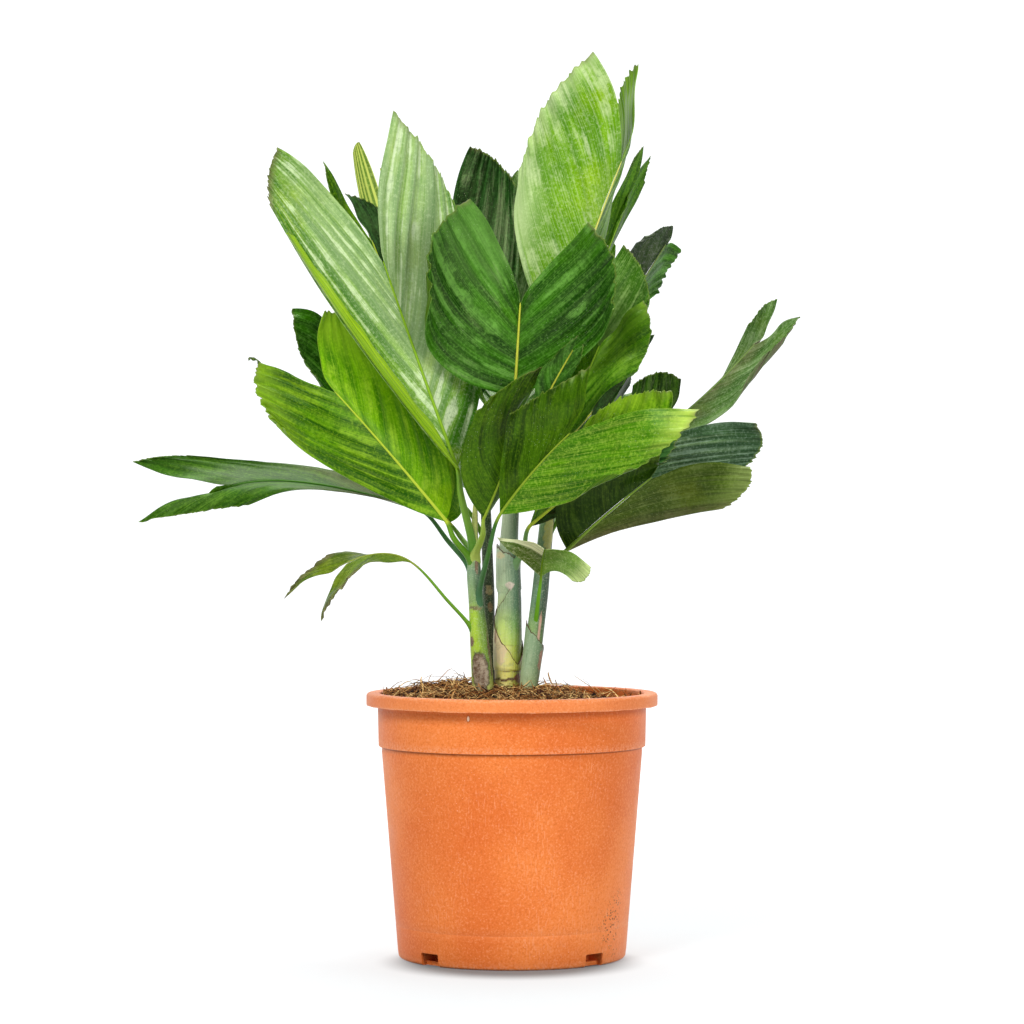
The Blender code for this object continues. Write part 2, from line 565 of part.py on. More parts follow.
def ring_corners(middle, across, up, half_width, half_height):
    """Six corners round a stalk: left top, top, right top, right bottom, bottom, left bottom."""
    side = 0.45 * half_height
    return [middle - across * half_width + up * side, middle + up * half_height,
            middle + across * half_width + up * side, middle + across * half_width - up * side,
            middle - up * half_height, middle - across * half_width - up * side]


def frond_mesh(design):
    """Stalk, midrib and two lobes as one closed body of triangles."""
    rib = [seen(point) for point in design["rib"]]
    girth = design["girth"] * MM
    rib_base = RIB_BASE * girth

    def rib_width(s):
        return rib_base + (RIB_FORK - rib_base) * s

    lobes = {side: Lobe(rib, [seen(point) for point in design[side]], rib_width)
             for side in ("left", "right")}
    signs = {"left": 1, "right": -1}
    half = BLADE / 2
    reach = max((lobe.corner - rib[0]).length for lobe in lobes.values())
    vein_steps = VEIN_STEPS + 1 if reach > LONG_BLADE else VEIN_STEPS
    edge = max((lobe.tip - lobe.corner).length for lobe in lobes.values())
    stations = STATIONS if edge > NARROW_BLADE else NARROW_STATIONS
    bm = bmesh.new()
    skins = {}
    for side, lobe in lobes.items():
        for station in range(stations):
            s = station / (stations - 1)
            for step in range(vein_steps + 1):
                t = step / vein_steps
                place = lobe.place(s, t, station)
                lift = lobe.normal(s, t, signs[side]) * half
                skins[side, station, step, "top"] = bm.verts.new(place + lift)
                skins[side, station, step, "bottom"] = bm.verts.new(place - lift)

    def triangles(a, b, c, d):
        bm.faces.new((a, b, c))
        bm.faces.new((a, c, d))

    for side in lobes:
        for station in range(stations - 1):
            for step in range(vein_steps):
                for skin in ("top", "bottom"):
                    triangles(skins[side, station, step, skin], skins[side, station + 1, step, skin],
                              skins[side, station + 1, step + 1, skin], skins[side, station, step + 1, skin])
            triangles(skins[side, station, vein_steps, "top"], skins[side, station + 1, vein_steps, "top"],
                      skins[side, station + 1, vein_steps, "bottom"], skins[side, station, vein_steps, "bottom"])
        for station in (0, stations - 1):
            for step in range(vein_steps):
                triangles(skins[side, station, step, "top"], skins[side, station, step + 1, "top"],
                          skins[side, station, step + 1, "bottom"], skins[side, station, step, "bottom"])

    rings = []
    for station in range(stations):
        s = station / (stations - 1)
        up = (lobes["left"].normal(s, 0, 1) + lobes["right"].normal(s, 0, -1)).normalized()
        middle = lobes["left"].rib_line(s)
        fade = 1 - 0.5 * s
        top = bm.verts.new(middle + up * (half + RIB_RIDGE * fade))
        bottom = bm.verts.new(middle - up * (half + RIB_KEEL * fade))
        rings.append([skins["left", station, 0, "top"], top, skins["right", station, 0, "top"],
                      skins["right", station, 0, "bottom"], bottom, skins["left", station, 0, "bottom"]])
    for low, high in zip(rings, rings[1:]):
        for corner in (0, 1, 3, 4):
            triangles(low[corner], low[corner + 1], high[corner + 1], high[corner])
    fork = rings[-1]
    triangles(fork[0], fork[1], fork[4], fork[5])
    triangles(fork[1], fork[2], fork[3], fork[4])

    base = rib[0]
    ahead = (lobes["left"].rib_line(0.04) - base).normalized()
    across = (rings[0][2].co - rings[0][0].co)
    across = (across - across.dot(ahead) * ahead).normalized()
    path = stalk_path(design, base, ahead)
    first = next(i for i, place in enumerate(path) if clear_of_cane(design["cane"], place) > GAP)
    path = path[max(first - 1, 0):]
    low_ring = None
    for step in range(STALK_STEPS + 1):
        share = STALK_END * step / STALK_STEPS
        index = min(int(round(share * (len(path) - 1))), len(path) - 2)
        middle = path[index]
        direction = (path[index + 1] - path[max(index - 1, 0)]).normalized()
        side = (across - across.dot(direction) * direction).normalized()
        up = side.cross(direction).normalized()
        size = girth + (rib_base * 1.15 - girth) * share
        corners = ring_corners(middle, side, up, size, size * 0.85)
        if step == 0:
            corners = [seat(design["cane"], corner, direction) for corner in corners]
            middle = seat(design["cane"], middle, direction)
        ring = [bm.verts.new(corner) for corner in corners]
        if low_ring:
            join_rings(triangles, low_ring, ring)
        else:
            hub = bm.verts.new(middle)
            for corner in range(6):
                bm.faces.new((hub, ring[corner], ring[(corner + 1) % 6]))
        low_ring = ring
    join_rings(triangles, low_ring, rings[0])
    return bm


def join_rings(triangles, low, high):
    for corner in range(6):
        after = (corner + 1) % 6
        triangles(low[corner], low[after], high[after], high[corner])


def make_fronds(parent):
    for name, design in FRONDS.items():
        finish = "bright_leaf" if name in BRIGHT else "dark_leaf" if name in DARK else "leaf"
        root, _ = cane_point(design["cane"], design["root"] * MM)
        frond = add_object(name, frond_mesh(design), finish, parent, root)
        frond.data.shade_smooth()
        frond.data.set_sharp_from_angle(angle=math.radians(40))


def main():
    clear_scene()
    palm = bpy.data.objects.new("potted_metallic_palm", None)
    bpy.context.scene.collection.objects.link(palm)
    make_pot(palm)
    make_soil(palm)
    make_canes(palm)
    make_fronds(palm)


main()
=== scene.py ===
"""Looks of the potted metallic palm: fine fronds, sheathed canes, coir soil, moulded pot, studio."""
import math

import bmesh
import bpy
import numpy as np
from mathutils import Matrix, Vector


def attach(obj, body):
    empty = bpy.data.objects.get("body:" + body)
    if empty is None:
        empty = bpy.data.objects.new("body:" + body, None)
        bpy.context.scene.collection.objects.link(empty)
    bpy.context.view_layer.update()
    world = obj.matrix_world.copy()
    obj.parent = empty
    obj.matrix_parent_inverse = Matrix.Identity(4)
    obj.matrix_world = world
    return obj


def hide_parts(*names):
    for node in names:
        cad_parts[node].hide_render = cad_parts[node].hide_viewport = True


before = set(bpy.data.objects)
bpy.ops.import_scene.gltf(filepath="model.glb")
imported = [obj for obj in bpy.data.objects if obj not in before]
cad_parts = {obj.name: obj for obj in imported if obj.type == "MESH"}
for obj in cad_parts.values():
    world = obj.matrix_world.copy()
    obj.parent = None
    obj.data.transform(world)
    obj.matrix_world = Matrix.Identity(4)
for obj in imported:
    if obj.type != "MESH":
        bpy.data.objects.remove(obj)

MM = 0.001
FULL_TURN = 2 * math.pi
FRONT = -math.pi / 2        # azimuth of the side that the camera sees
SEED = 7
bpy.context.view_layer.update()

# Camera, as the photograph was taken: level, 2.4 m in front of the stems
EYE_DISTANCE = 2.4
EYE_HEIGHT = 0.320
PICTURE_WIDTH = 0.7389      # width of the view at the stems
SENSOR = 36

# Pot, as in the CAD
POT_HEIGHT = 0.190
RIM_RADIUS = 0.105
LIP_DROP = 0.009
COLLAR_FOOT = 0.1515
COLLAR_RADIUS = 0.0962
COLLAR_DRAFT = 0.020
WALL_FOOT_RADIUS = 0.0819
WALL_DRAFT = 0.081
WALL = 0.0019
FLOOR = 0.0028
FOOT_ROUND = 0.0022
EDGE = 0.0011
NOTCH_COUNT = 4
NOTCH_WIDTH = 0.017
NOTCH_HEIGHT = 0.009
NOTCH_DEPTH = 0.012
# Pot, finer than in the CAD
LIP_FOOT = POT_HEIGHT - LIP_DROP
LIP_ROUND = 0.0024          # rounding of the lip's outer edge
MOUTH_ROUND = 0.0016        # rounding of its inner edge
POCKET_DEPTH = 0.015        # drain channel behind each notch
POCKET_WALL = 0.0012
POT_SEGMENTS = 192
MOULD_LINE = 0.024          # height of the faint line above the foot
MOULD_STEP = 0.0006
CHIP = (-0.0304, -0.0918, 0.1764)       # a pale chip on the collar
CHIP_TALL = 0.5             # share that its height is shrunk to when it is drawn
DIRT = (0.0690, -0.0560, 0.028)         # middle of the dirt near the foot

# Soil: the first six as in the CAD
SOIL_EDGE = 0.1845
SOIL_MOUND = 0.0085
SOIL_HOLLOW = 0.0065
MOUND_REACH = 0.8
HOLLOW_START = 0.03
HOLLOW_LENGTH = 0.09
HEAPS = ((-0.042, -0.004, 0.036, 0.0045), (-0.074, 0.016, 0.030, 0.0040))    # x, y, reach and height
DIP = (-0.012, -0.022, 0.019, 0.0055)   # a hollow at the foot of the canes, in the same way
SOIL_ROUGHNESS = 0.0022
SOIL_SIDES, SOIL_RINGS = 220, 74
FIBRE_COUNT = 2100
CRUMB_COUNT = 650

# Studio
PAPER = "909698"
WHITE = (1.0, 1.0, 1.0, 1.0)
BACKDROP_GLOW = 0.9
SHADOW_MIDDLE = (0.0, -0.034, 0.0)      # middle of the painted contact shadow: the backdrop's glow is held back round this point, a little in front of the pot
SKY = 0.16
# Name, place, size and watts of each soft light
LIGHTS = (
    ("key", (-1.1, -1.9, 2.2), 0.9, 56), ("fill", (1.7, -2.1, 1.1), 1.5, 34), ("top", (0.1, 0.6, 2.4), 1.5, 54))

# Canes: height, x, y and radius along each, in millimetres, as in the CAD
CANE_SIDES = 56
CANE_STEP = 0.001
CANES = {
    "left": ((150, -19, -8, 6.6), (186, -20, -8, 7.0), (198, -21, -8, 7.8), (212, -22, -8, 7.6),
     (227, -23.5, -8, 6.8), (254, -25.5, -8, 5.6), (276, -27.5, -8, 5.3), (292, -27.5, -8, 4.2),
     (300, -27, -8, 2.6), (322, -26.5, -8, 2.0), (326, -26.5, -8, 1.2)),
    "middle": ((150, -3, 8, 8.2), (188, -3, 8, 8.6), (194, -3, 8, 9.6), (199, -3, 8, 9.0),
     (206, -3, 8, 9.7), (227, -3, 8, 9.8), (256, -2, 8, 8.3), (282, -3, 8, 7.4), (309, -1.5, 8, 6.2),
     (350, 1, 8, 5.2), (385, 1, 9, 3.6), (400, 0, 10, 1.5)),
    "right": ((150, 10, -6, 5.2), (190, 11.5, -6, 5.3), (203, 13, -6, 6.1), (227, 16, -6, 6.2),
     (260, 20, -5, 6.0), (312, 25, -4, 5.2), (345, 28, -2, 4.3), (368, 30, 0, 3.0), (382, 31, 1, 1.3)),
    "back": ((150, -17, 27, 4.4), (190, -17, 27, 4.6), (196, -17, 27, 5.2), (202, -17, 27, 4.7),
     (260, -17, 28, 4.3), (320, -19, 31, 3.8), (352, -21, 34, 2.8), (366, -22, 35, 1.3)),
}

# Fronds, as in the CAD: cane, height of the root, girth, a point of the stalk, then the points of the
# midrib, the left lobe and the right lobe, in millimetres as the eye sees them
FRONDS = {
    "long_left": ("left", 274, 2.2, (-46, 299, -2), (-68, 322, 2), (-146, 341, -5), (-202, 339, -15),
        (-131, 338, -35), (-190, 325, -30), (-225, 320, -24), (-270, 313, -15), (-236, 331, -15),
        (-117, 348, 20), (-231, 361, 0), (-254, 360, -6), (-274, 356, -10), (-240, 346, -12)),
    "small_left": ("left", 226, 1.5, (-49, 259, -15), (-73, 284, -22), (-94, 290, -32), (-120, 283, -42),
        (-95, 287, -50), (-115, 275, -62), (-126, 262, -66), (-137, 241, -62), (-133, 264, -55),
        (-101, 292, -15), (-131, 288, -22), (-149, 277, -36), (-165, 258, -45), (-140, 276, -42)),
    "high_left": ("left", 290, 2.6, (-37, 333, -24), (-40, 353, -32), (-67, 427, -42), (-93, 501, -50),
        (-111, 443, -66), (-175, 542, -82), (-176, 563, -80), (-170, 583, -76), (-131, 553, -62),
        (-19, 440, -8), (-40, 539, -14), (-58, 574, -24), (-85, 610, -38), (-95, 552, -46)),
    "low_left": ("left", 281, 2.4, (-42, 301, -18), (-48, 314, -20), (-88, 362, -42), (-128, 407, -62),
        (-117, 345, -70), (-165, 379, -100), (-183, 403, -108), (-182, 428, -100), (-155, 420, -82),
        (-48, 368, -5), (-97, 447, -15), (-117, 461, -28), (-136, 465, -42), (-137, 436, -52)),
    "behind_left": ("left", 286, 2.0, (-38, 303, 12), (-45, 312, 18), (-85, 368, 22), (-120, 436, 15),
        (-95, 362, 10), (-137, 411, 0), (-154, 438, -5), (-158, 467, -5), (-135, 460, 5),
        (-38, 345, 12), (-72, 420, 14), (-85, 452, 20), (-108, 470, 22), (-117, 455, 18)),
    "point_left": ("back", 326, 1.8, None, (-48, 398, 40), (-77, 458, 42), (-101, 516, 42),
        (-92, 442, 34), (-122, 525, 34), (-131, 550, 32), (-136, 573, 30), (-119, 547, 36),
        (-62, 480, 52), (-92, 534, 60), (-105, 545, 57), (-121, 549, 50), (-108, 535, 46)),
    "striped": ("back", 352, 1.8, None, (-52, 402, 68), (-74, 465, 84), (-88, 527, 98),
        (-94, 494, 88), (-115, 579, 106), (-113, 585, 108), (-110, 587, 108), (-98, 560, 104),
        (-62, 470, 96), (-80, 535, 120), (-86, 555, 118), (-96, 568, 114), (-90, 548, 106)),
    "dark_top": ("middle", 372, 2.0, None, (-22, 405, 45), (-36, 455, 62), (-45, 505, 75),
        (-55, 455, 70), (-66, 520, 86), (-68, 538, 92), (-62, 552, 95), (-54, 530, 86),
        (2, 475, 62), (2, 557, 88), (-11, 574, 94), (-30, 584, 92), (-42, 549, 84)),
    "dark_narrow": ("middle", 380, 1.8, None, (6, 418, 75), (0, 485, 106), (-3, 556, 122),
        (-12, 480, 112), (-18, 540, 127), (-17, 552, 129), (-10, 560, 129), (-6, 560, 127),
        (20, 500, 96), (12, 545, 118), (10, 558, 124), (4, 567, 127), (0, 562, 126)),
    "front_high": ("middle", 352, 2.4, None, (2, 404, -35), (4, 438, -42), (6, 471, -55),
        (-49, 425, -48), (-61, 472, -80), (-56, 519, -82), (-30, 546, -68), (-9, 514, -56),
        (45, 428, -50), (73, 466, -85), (74, 500, -86), (56, 529, -72), (29, 502, -58)),
    "tallest": ("middle", 384, 2.6, None, (32, 443, 8), (54, 507, 14), (79, 573, 15),
        (7, 500, 15), (3, 560, 28), (21, 610, 18), (58, 652, -5), (75, 620, 0),
        (71, 529, 50), (72, 606, 85), (79, 627, 62), (88, 643, 35), (89, 608, 28)),
    "top_right": ("right", 370, 1.8, None, (44, 440, 56), (62, 490, 76), (82, 541, 88),
        (58, 502, 72), (86, 570, 84), (91, 579, 86), (95, 584, 88), (93, 565, 90),
        (70, 496, 96), (92, 552, 106), (97, 565, 104), (99, 577, 100), (93, 560, 94)),
    "purple": ("right", 360, 1.8, None, (62, 428, 66), (86, 472, 88), (111, 513, 104),
        (79, 494, 82), (101, 518, 100), (108, 525, 106), (116, 526, 112), (116, 520, 108),
        (93, 464, 104), (103, 477, 120), (112, 493, 126), (121, 510, 122), (117, 513, 112)),
    "mid_right": ("right", 352, 2.0, None, (34, 388, -8), (44, 424, -14), (52, 463, -18),
        (22, 440, -10), (33, 480, -12), (36, 495, -12), (46, 505, -14), (48, 484, -17),
        (72, 418, -20), (99, 470, -28), (95, 493, -28), (80, 513, -24), (66, 490, -20)),
    "curled": ("right", 330, 2.0, None, (32, 364, -18), (47, 402, -30), (63, 440, -40),
        (28, 405, -22), (40, 440, -28), (45, 455, -30), (57, 462, -32), (58, 452, -36),
        (60, 400, -42), (88, 418, -48), (100, 447, -55), (94, 473, -48), (78, 459, -42)),
    "sliver": ("right", 342, 1.4, None, (56, 376, 30), (73, 400, 36), (86, 425, 40),
        (66, 408, 30), (93, 440, 40), (98, 446, 40), (103, 448, 42), (97, 436, 43),
        (72, 392, 44), (80, 405, 50), (85, 412, 51), (86, 418, 50), (87, 421, 46)),
    "round_dark": ("right", 326, 1.8, None, (46, 352, 22), (78, 362, 30), (102, 377, 38),
        (75, 378, 24), (87, 411, 36), (105, 421, 46), (122, 416, 54), (118, 397, 48),
        (85, 350, 40), (105, 352, 54), (117, 358, 60), (122, 368, 62), (113, 374, 50)),
    "front_right": ("left", 251, 2.0, (-17, 290, -36), (-8, 319, -48), (16, 350, -68), (42, 377, -88),
        (-9, 356, -52), (-1, 392, -64), (24, 407, -76), (55, 426, -92), (51, 400, -96),
        (30, 327, -86), (66, 345, -118), (108, 363, -134), (135, 395, -128), (87, 393, -112)),
    "behind_right": ("middle", 272, 2.2, (8, 292, -6), (14, 311, -20), (56, 344, -42), (96, 370, -58),
        (30, 350, -36), (57, 388, -48), (85, 405, -60), (115, 407, -70), (112, 389, -66),
        (44, 320, -32), (92, 346, -54), (112, 358, -68), (121, 378, -76), (108, 378, -68)),
    "folded": ("left", 284, 1.9, (-21, 304, -30), (-20, 316, -36), (-6, 350, -38), (6, 387, -42),
        (-37, 351, -48), (-27, 389, -52), (-3, 412, -60), (28, 426, -62), (12, 403, -52),
        (2, 345, -32), (15, 376, -36), (20, 388, -40), (22, 400, -46), (14, 396, -45)),
    "low_right": ("right", 279, 2.4, None, (40, 293, -30), (69, 319, -52), (101, 345, -72),
        (31, 325, -38), (50, 352, -50), (78, 362, -68), (107, 361, -82), (105, 353, -77),
        (98, 310, -58), (151, 323, -95), (170, 337, -105), (172, 353, -100), (136, 355, -92)),
    "blue_right": ("right", 296, 1.8, None, (40, 322, -2), (68, 350, -2), (100, 368, -8),
        (58, 370, 10), (85, 392, 13), (100, 398, 10), (112, 392, 4), (108, 382, 0),
        (105, 338, -8), (165, 350, -35), (180, 367, -40), (176, 384, -38), (139, 382, -25)),
    "far_right": ("right", 310, 1.7, (60, 338, 26), (104, 376, 26), (137, 402, 24), (175, 441, 12),
        (144, 413, 34), (170, 453, 26), (180, 467, 18), (191, 474, 10), (183, 455, 10),
        (146, 391, -2), (181, 433, -8), (199, 449, -12), (207, 462, -10), (190, 454, 0)),
    "crumpled": ("middle", 316, 1.3, (24, 350, -28), (20, 393, -54), (32, 416, -64), (44, 437, -72),
        (17, 414, -60), (29, 430, -68), (37, 439, -74), (48, 447, -80), (46, 442, -76),
        (36, 409, -62), (47, 424, -72), (50, 432, -78), (51, 441, -80), (48, 439, -76)),
    "torn": ("right", 226, 1.6, (19, 257, -16), (21, 274, -22), (22, 285, -32), (24, 293, -45),
        (4, 287, -34), (-3, 293, -40), (-8, 298, -38), (-11, 302, -32), (7, 299, -44),
        (32, 277, -38), (44, 270, -55), (53, 271, -62), (57, 280, -62), (42, 290, -55)),
    "back_left": ("back", 330, 2.0, None, (-34, 372, 72), (-50, 402, 98), (-62, 430, 125),
        (-75, 395, 92), (-105, 430, 128), (-108, 452, 145), (-98, 470, 152), (-78, 452, 142),
        (-32, 428, 96), (-30, 465, 132), (-42, 484, 150), (-60, 492, 160), (-62, 462, 145)),
    "back_middle": ("middle", 342, 2.0, None, (-2, 385, 62), (2, 412, 98), (5, 438, 135),
        (-28, 412, 100), (-30, 452, 148), (-24, 472, 165), (-10, 484, 172), (0, 462, 156),
        (30, 410, 98), (42, 448, 142), (40, 470, 160), (28, 482, 168), (14, 460, 154)),
    "back_high": ("middle", 364, 2.0, None, (26, 418, 84), (42, 464, 114), (54, 508, 134),
        (16, 474, 116), (24, 525, 142), (32, 545, 148), (46, 556, 150), (48, 532, 142),
        (62, 470, 132), (74, 504, 152), (72, 522, 156), (62, 540, 154), (59, 524, 144)),
    "back_right": ("right", 334, 2.0, None, (40, 372, 45), (56, 390, 76), (70, 405, 105),
        (44, 418, 75), (62, 446, 110), (74, 456, 124), (86, 460, 132), (80, 432, 120),
        (74, 374, 80), (100, 382, 114), (108, 396, 128), (104, 410, 136), (88, 408, 122)),
    "back_low_left": ("back", 292, 1.8, None, (-42, 330, 52), (-70, 344, 78), (-95, 356, 100),
        (-80, 344, 82), (-120, 364, 122), (-130, 374, 132), (-135, 386, 138), (-116, 372, 122),
        (-62, 366, 64), (-84, 398, 98), (-100, 408, 114), (-118, 408, 128), (-108, 384, 116)),
    "back_low_right": ("right", 290, 1.8, None, (40, 322, 40), (64, 336, 70), (85, 345, 98),
        (58, 352, 60), (75, 376, 96), (90, 384, 110), (105, 385, 122), (96, 366, 112),
        (74, 328, 76), (105, 338, 116), (114, 350, 128), (118, 362, 134), (102, 354, 118)),
    "back_low": ("middle", 300, 1.8, None, (-4, 336, 55), (-5, 346, 95), (-5, 352, 132),
        (-34, 340, 95), (-44, 350, 140), (-40, 358, 162), (-26, 364, 176), (-14, 358, 154),
        (28, 337, 95), (38, 346, 140), (34, 356, 162), (20, 364, 174), (6, 358, 152)),
}

# Frond surfaces
BLADE = 0.0005              # thickness of a blade
STATIONS = 112              # along the midrib
VEIN_STEPS = 20             # from the midrib to the cut edge
WAVE_DEPTH = 0.0016         # slow waves of the blade
RIPPLE = 0.0005             # small unevenness
CURL = 0.0007               # quick curls of the cut edge
TOOTH_COUNT = 17            # teeth of a long cut edge
TOOTH_PEAK = 0.72           # where a tooth is highest, of its length
CUP = 0.04                  # arch of a lobe, of its veins' length
CUPS = {"tallest": 0.0, "high_left": 0.02, "long_left": 0.02}
STALK_SAMPLES = 24
STALK_RISE = 0.9
STALK_SIDES = 16
RIB_STATIONS = 36
RIB_BASE = 0.55             # half width of the midrib at the blade's base, of the stalk's girth
RIB_FORK = 0.0008
FORK_WIDTH = 0.55           # half width of the midrib's tip, in millimetres
FORK_WIDTHS = {"dark_narrow": 1.5}
STALK_SWELL = 1.12
STALK_SWELLS = {"folded": 1.6, "high_left": 1.25, "front_right": 1.2}

# Leaf tones, sRGB: dark green, also for the painted shade of fold valleys; main green; light green, also for
# the painted sheen; underside; midrib
LEAF_TONES = {
    "pale": "327000 7aaa28 cee4ac 9ac00c 88b428",
    "silver": "3a7a02 8ab83c d4e6b6 8eb40a 88b428",
    "bright": "1e5200 5a9200 9ec82c 78a032 bed03c",
    "lime": "3c7600 78b200 b0d638 78a032 bed03c",
    "stripe": "466c1e 608828 ced868 78a032 bacc54",
    "high": "488400 80b608 d0e4a6 689646 dede6e",
    "sunny": "1e5400 4a8600 bad654 466814 bed050",
    "fresh": "1a4e00 427a00 88b832 466814 96be32",
    "mid": "0a3600 347200 74ae48 46640a ced246",
    "leafy": "1a5000 528c0a a4ca70 46640a 96be3c",
    "pea": "325204 68881c a4b64e 625e2a 92a038",
    "moss": "0e2a00 2a4c02 5a7422 46540e 82a03c",
    "deep": "0a2a00 2a5800 5c8622 38540a 769a24",
    "dark": "001400 083c00 4c803e 223c0a 567e28",
    "olive": "143200 386000 688a1a 46600a 8aa22c",
    "blue": "1e3c22 466a40 92ac92 3c5630 6e8c4c",
    "grey": "325818 5c863a b0c892 625a4a 7e9c50",
    "haze": "143e00 326608 6c982c 3e3a2c 4c7e2e",
    "purple": "102c0a 2e4822 8e8a8e 46543c 788c50",
    "frayed": "407200 6a9a18 cede96 547614 688c18",
    "torn": "2c4a00 4e7404 dee2b0 425c08 688c18",
    "under": "2e4208 546e1a 889854 265000 a8b642",
}
BROAD_FOLDS = ("front_high", "low_left", "behind_left", "curled")
DULL_TONES = ("dark", "deep", "haze", "olive", "moss")     # these shine less
# The left and the right lobe's tone, strength of the painted sheen, roughness, folds, their depth in mm, which
# also sets the painted shade in the valleys, tooth depth in mm
FROND_LOOKS = {
    "long_left": ("haze", "haze", 0.4, 0.46, 4, 0.8, 1.6),
    "small_left": ("pea", "pea", 0.4, 0.4, 3, 0.6, 1.2),
    "high_left": ("pale", "silver", 1.0, 0.27, 7, 1.6, 3.6),
    "low_left": ("bright", "lime", 0.5, 0.31, 7, 2.2, 3.0),
    "behind_left": ("mid", "lime", 0.3, 0.36, 7, 1.3, 1.8),
    "point_left": ("bright", "dark", 0.3, 0.34, 4, 0.9, 1.4),
    "striped": ("stripe", "stripe", 0.2, 0.38, 4, 1.3, 1.2),
    "dark_top": ("dark", "dark", 0.32, 0.28, 5, 1.2, 3.4),
    "dark_narrow": ("dark", "grey", 0.4, 0.28, 3, 0.9, 1.4),
    "front_high": ("mid", "mid", 0.65, 0.28, 6, 2.8, 1.8),
    "tallest": ("high", "bright", 0.6, 0.4, 6, 0.8, 3.8),
    "top_right": ("fresh", "fresh", 0.3, 0.46, 3, 1.0, 2.4),
    "purple": ("purple", "mid", 0.4, 0.44, 5, 1.1, 2.6),
    "mid_right": ("leafy", "leafy", 0.7, 0.36, 5, 1.0, 2.2),
    "curled": ("fresh", "fresh", 0.5, 0.32, 5, 1.1, 1.2),
    "sliver": ("dark", "dark", 0.2, 0.4, 3, 0.5, 1.0),
    "round_dark": ("deep", "deep", 0.25, 0.36, 5, 1.1, 1.6),
    "front_right": ("olive", "sunny", 0.1, 0.34, 8, 1.0, 2.8),
    "behind_right": ("bright", "dark", 0.4, 0.36, 7, 1.2, 4.0),
    "folded": ("olive", "olive", 0.15, 0.36, 4, 0.7, 1.2),
    "low_right": ("moss", "under", 0.4, 0.42, 6, 0.8, 3.4),
    "blue_right": ("blue", "blue", 0.5, 0.34, 7, 1.3, 2.6),
    "far_right": ("grey", "grey", 0.4, 0.4, 4, 0.8, 1.4),
    "crumpled": ("mid", "mid", 0.35, 0.4, 4, 0.9, 1.0),
    "torn": ("torn", "frayed", 0.1, 0.42, 3, 0.5, 2.6),
}
DEFAULT_LOOK = ("mid", "fresh", 0.35, 0.34, 7, 1.2, 1.8)
# Lobes whose folds are weaker than their frond's: left, right
CALM = {
    "front_high": (1, 0.5), "low_left": (1, 0.4), "tallest": (0.8, 1), "front_right": (0.35, 0.8),
    "folded": (0.3, 0.3), "curled": (0.5, 0.35), "low_right": (0.3, 0.35), "mid_right": (1, 0.6),
}
# Stalk colours near the cane and near the blade
STALK_DEFAULT = "3e6822 68942c"
STALK_TONES = {
    "long_left": "3a6842 406c38", "small_left": "609222 689824", "low_left": "548628 60901e",
    "high_left": "5a8c32 80aa3c", "folded": "aabc5c 96b442", "front_right": "46704e 38681e",
    "torn": "5c981e 649c1e", "behind_right": "7c9e76 709c54", "low_right": "608e2e 86a23c",
}
# Parts of the left and the right lobe mixed toward the light tone, mostly bleached, but on low_left a painted
# sheen: a strength, then smooth steps along s or t
TIP_WASH = ((0.5, "t", 0.7, 1.0),)
BLEACH_AND_SHEEN = {
    "torn": (((1, "s", 0.66, 0.72),), ((0.8, "t", 0.6, 1.0),)),
    "front_right": ((), ((0.9, "t", 0.72, 1.0, "s", 0.3, 1.0),)),
    "tallest": (((0.7, "s", 0.45, 0.0, "t", 0.3, 0.7), (0.5, "t", 0.75, 1.0)), ()),
    "high_left": (((0.3, "s", 0.25, 0.6, "t", 1.0, 0.6),), ((0.35, "s", 0.1, 0.5),)),
    "point_left": (((0.8, "s", 0.25, 0.4, "s", 0.65, 0.5),), ()),
    "front_high": (((0.45, "s", 0.4, 0.95, "t", 0.1, 0.4),), ()),
    "curled": ((), ((1, "t", 0.75, 1.0, "s", 0.6, 1.0), (0.35, "s", 0.5, 0.9))),
    "mid_right": ((), ((0.4, "t", 0.9, 0.3),)),
    # low_left: painted sheen toward the cut edges of both lobes
    "low_left": (((0.6, "t", 0.6, 1.0),), ((0.7, "t", 0.5, 1.0),)),
    "behind_right": (TIP_WASH, TIP_WASH),
    "low_right": (TIP_WASH, TIP_WASH),
}
# Brownish parts, in the same way
TIP_STAIN = ((0.5, "t", 0.975, 1.0, "s", 0.6, 1.0),)
STAINS = {
    "long_left": (((0.6, "s", 0.4, 0.1, "t", 0.8, 0.2),),) * 2,
    "small_left": (((1, "t", 0.75, 1.0),),) * 2,
    "far_right": (((0.5, "t", 0.35, 0.05),),) * 2,
    "low_right": (TIP_STAIN, ((0.5, "s", 0.4, 0.0),)),
    "high_left": (((0.9, "t", 0.955, 0.995),), TIP_STAIN),
    "torn": ((), ()),
}
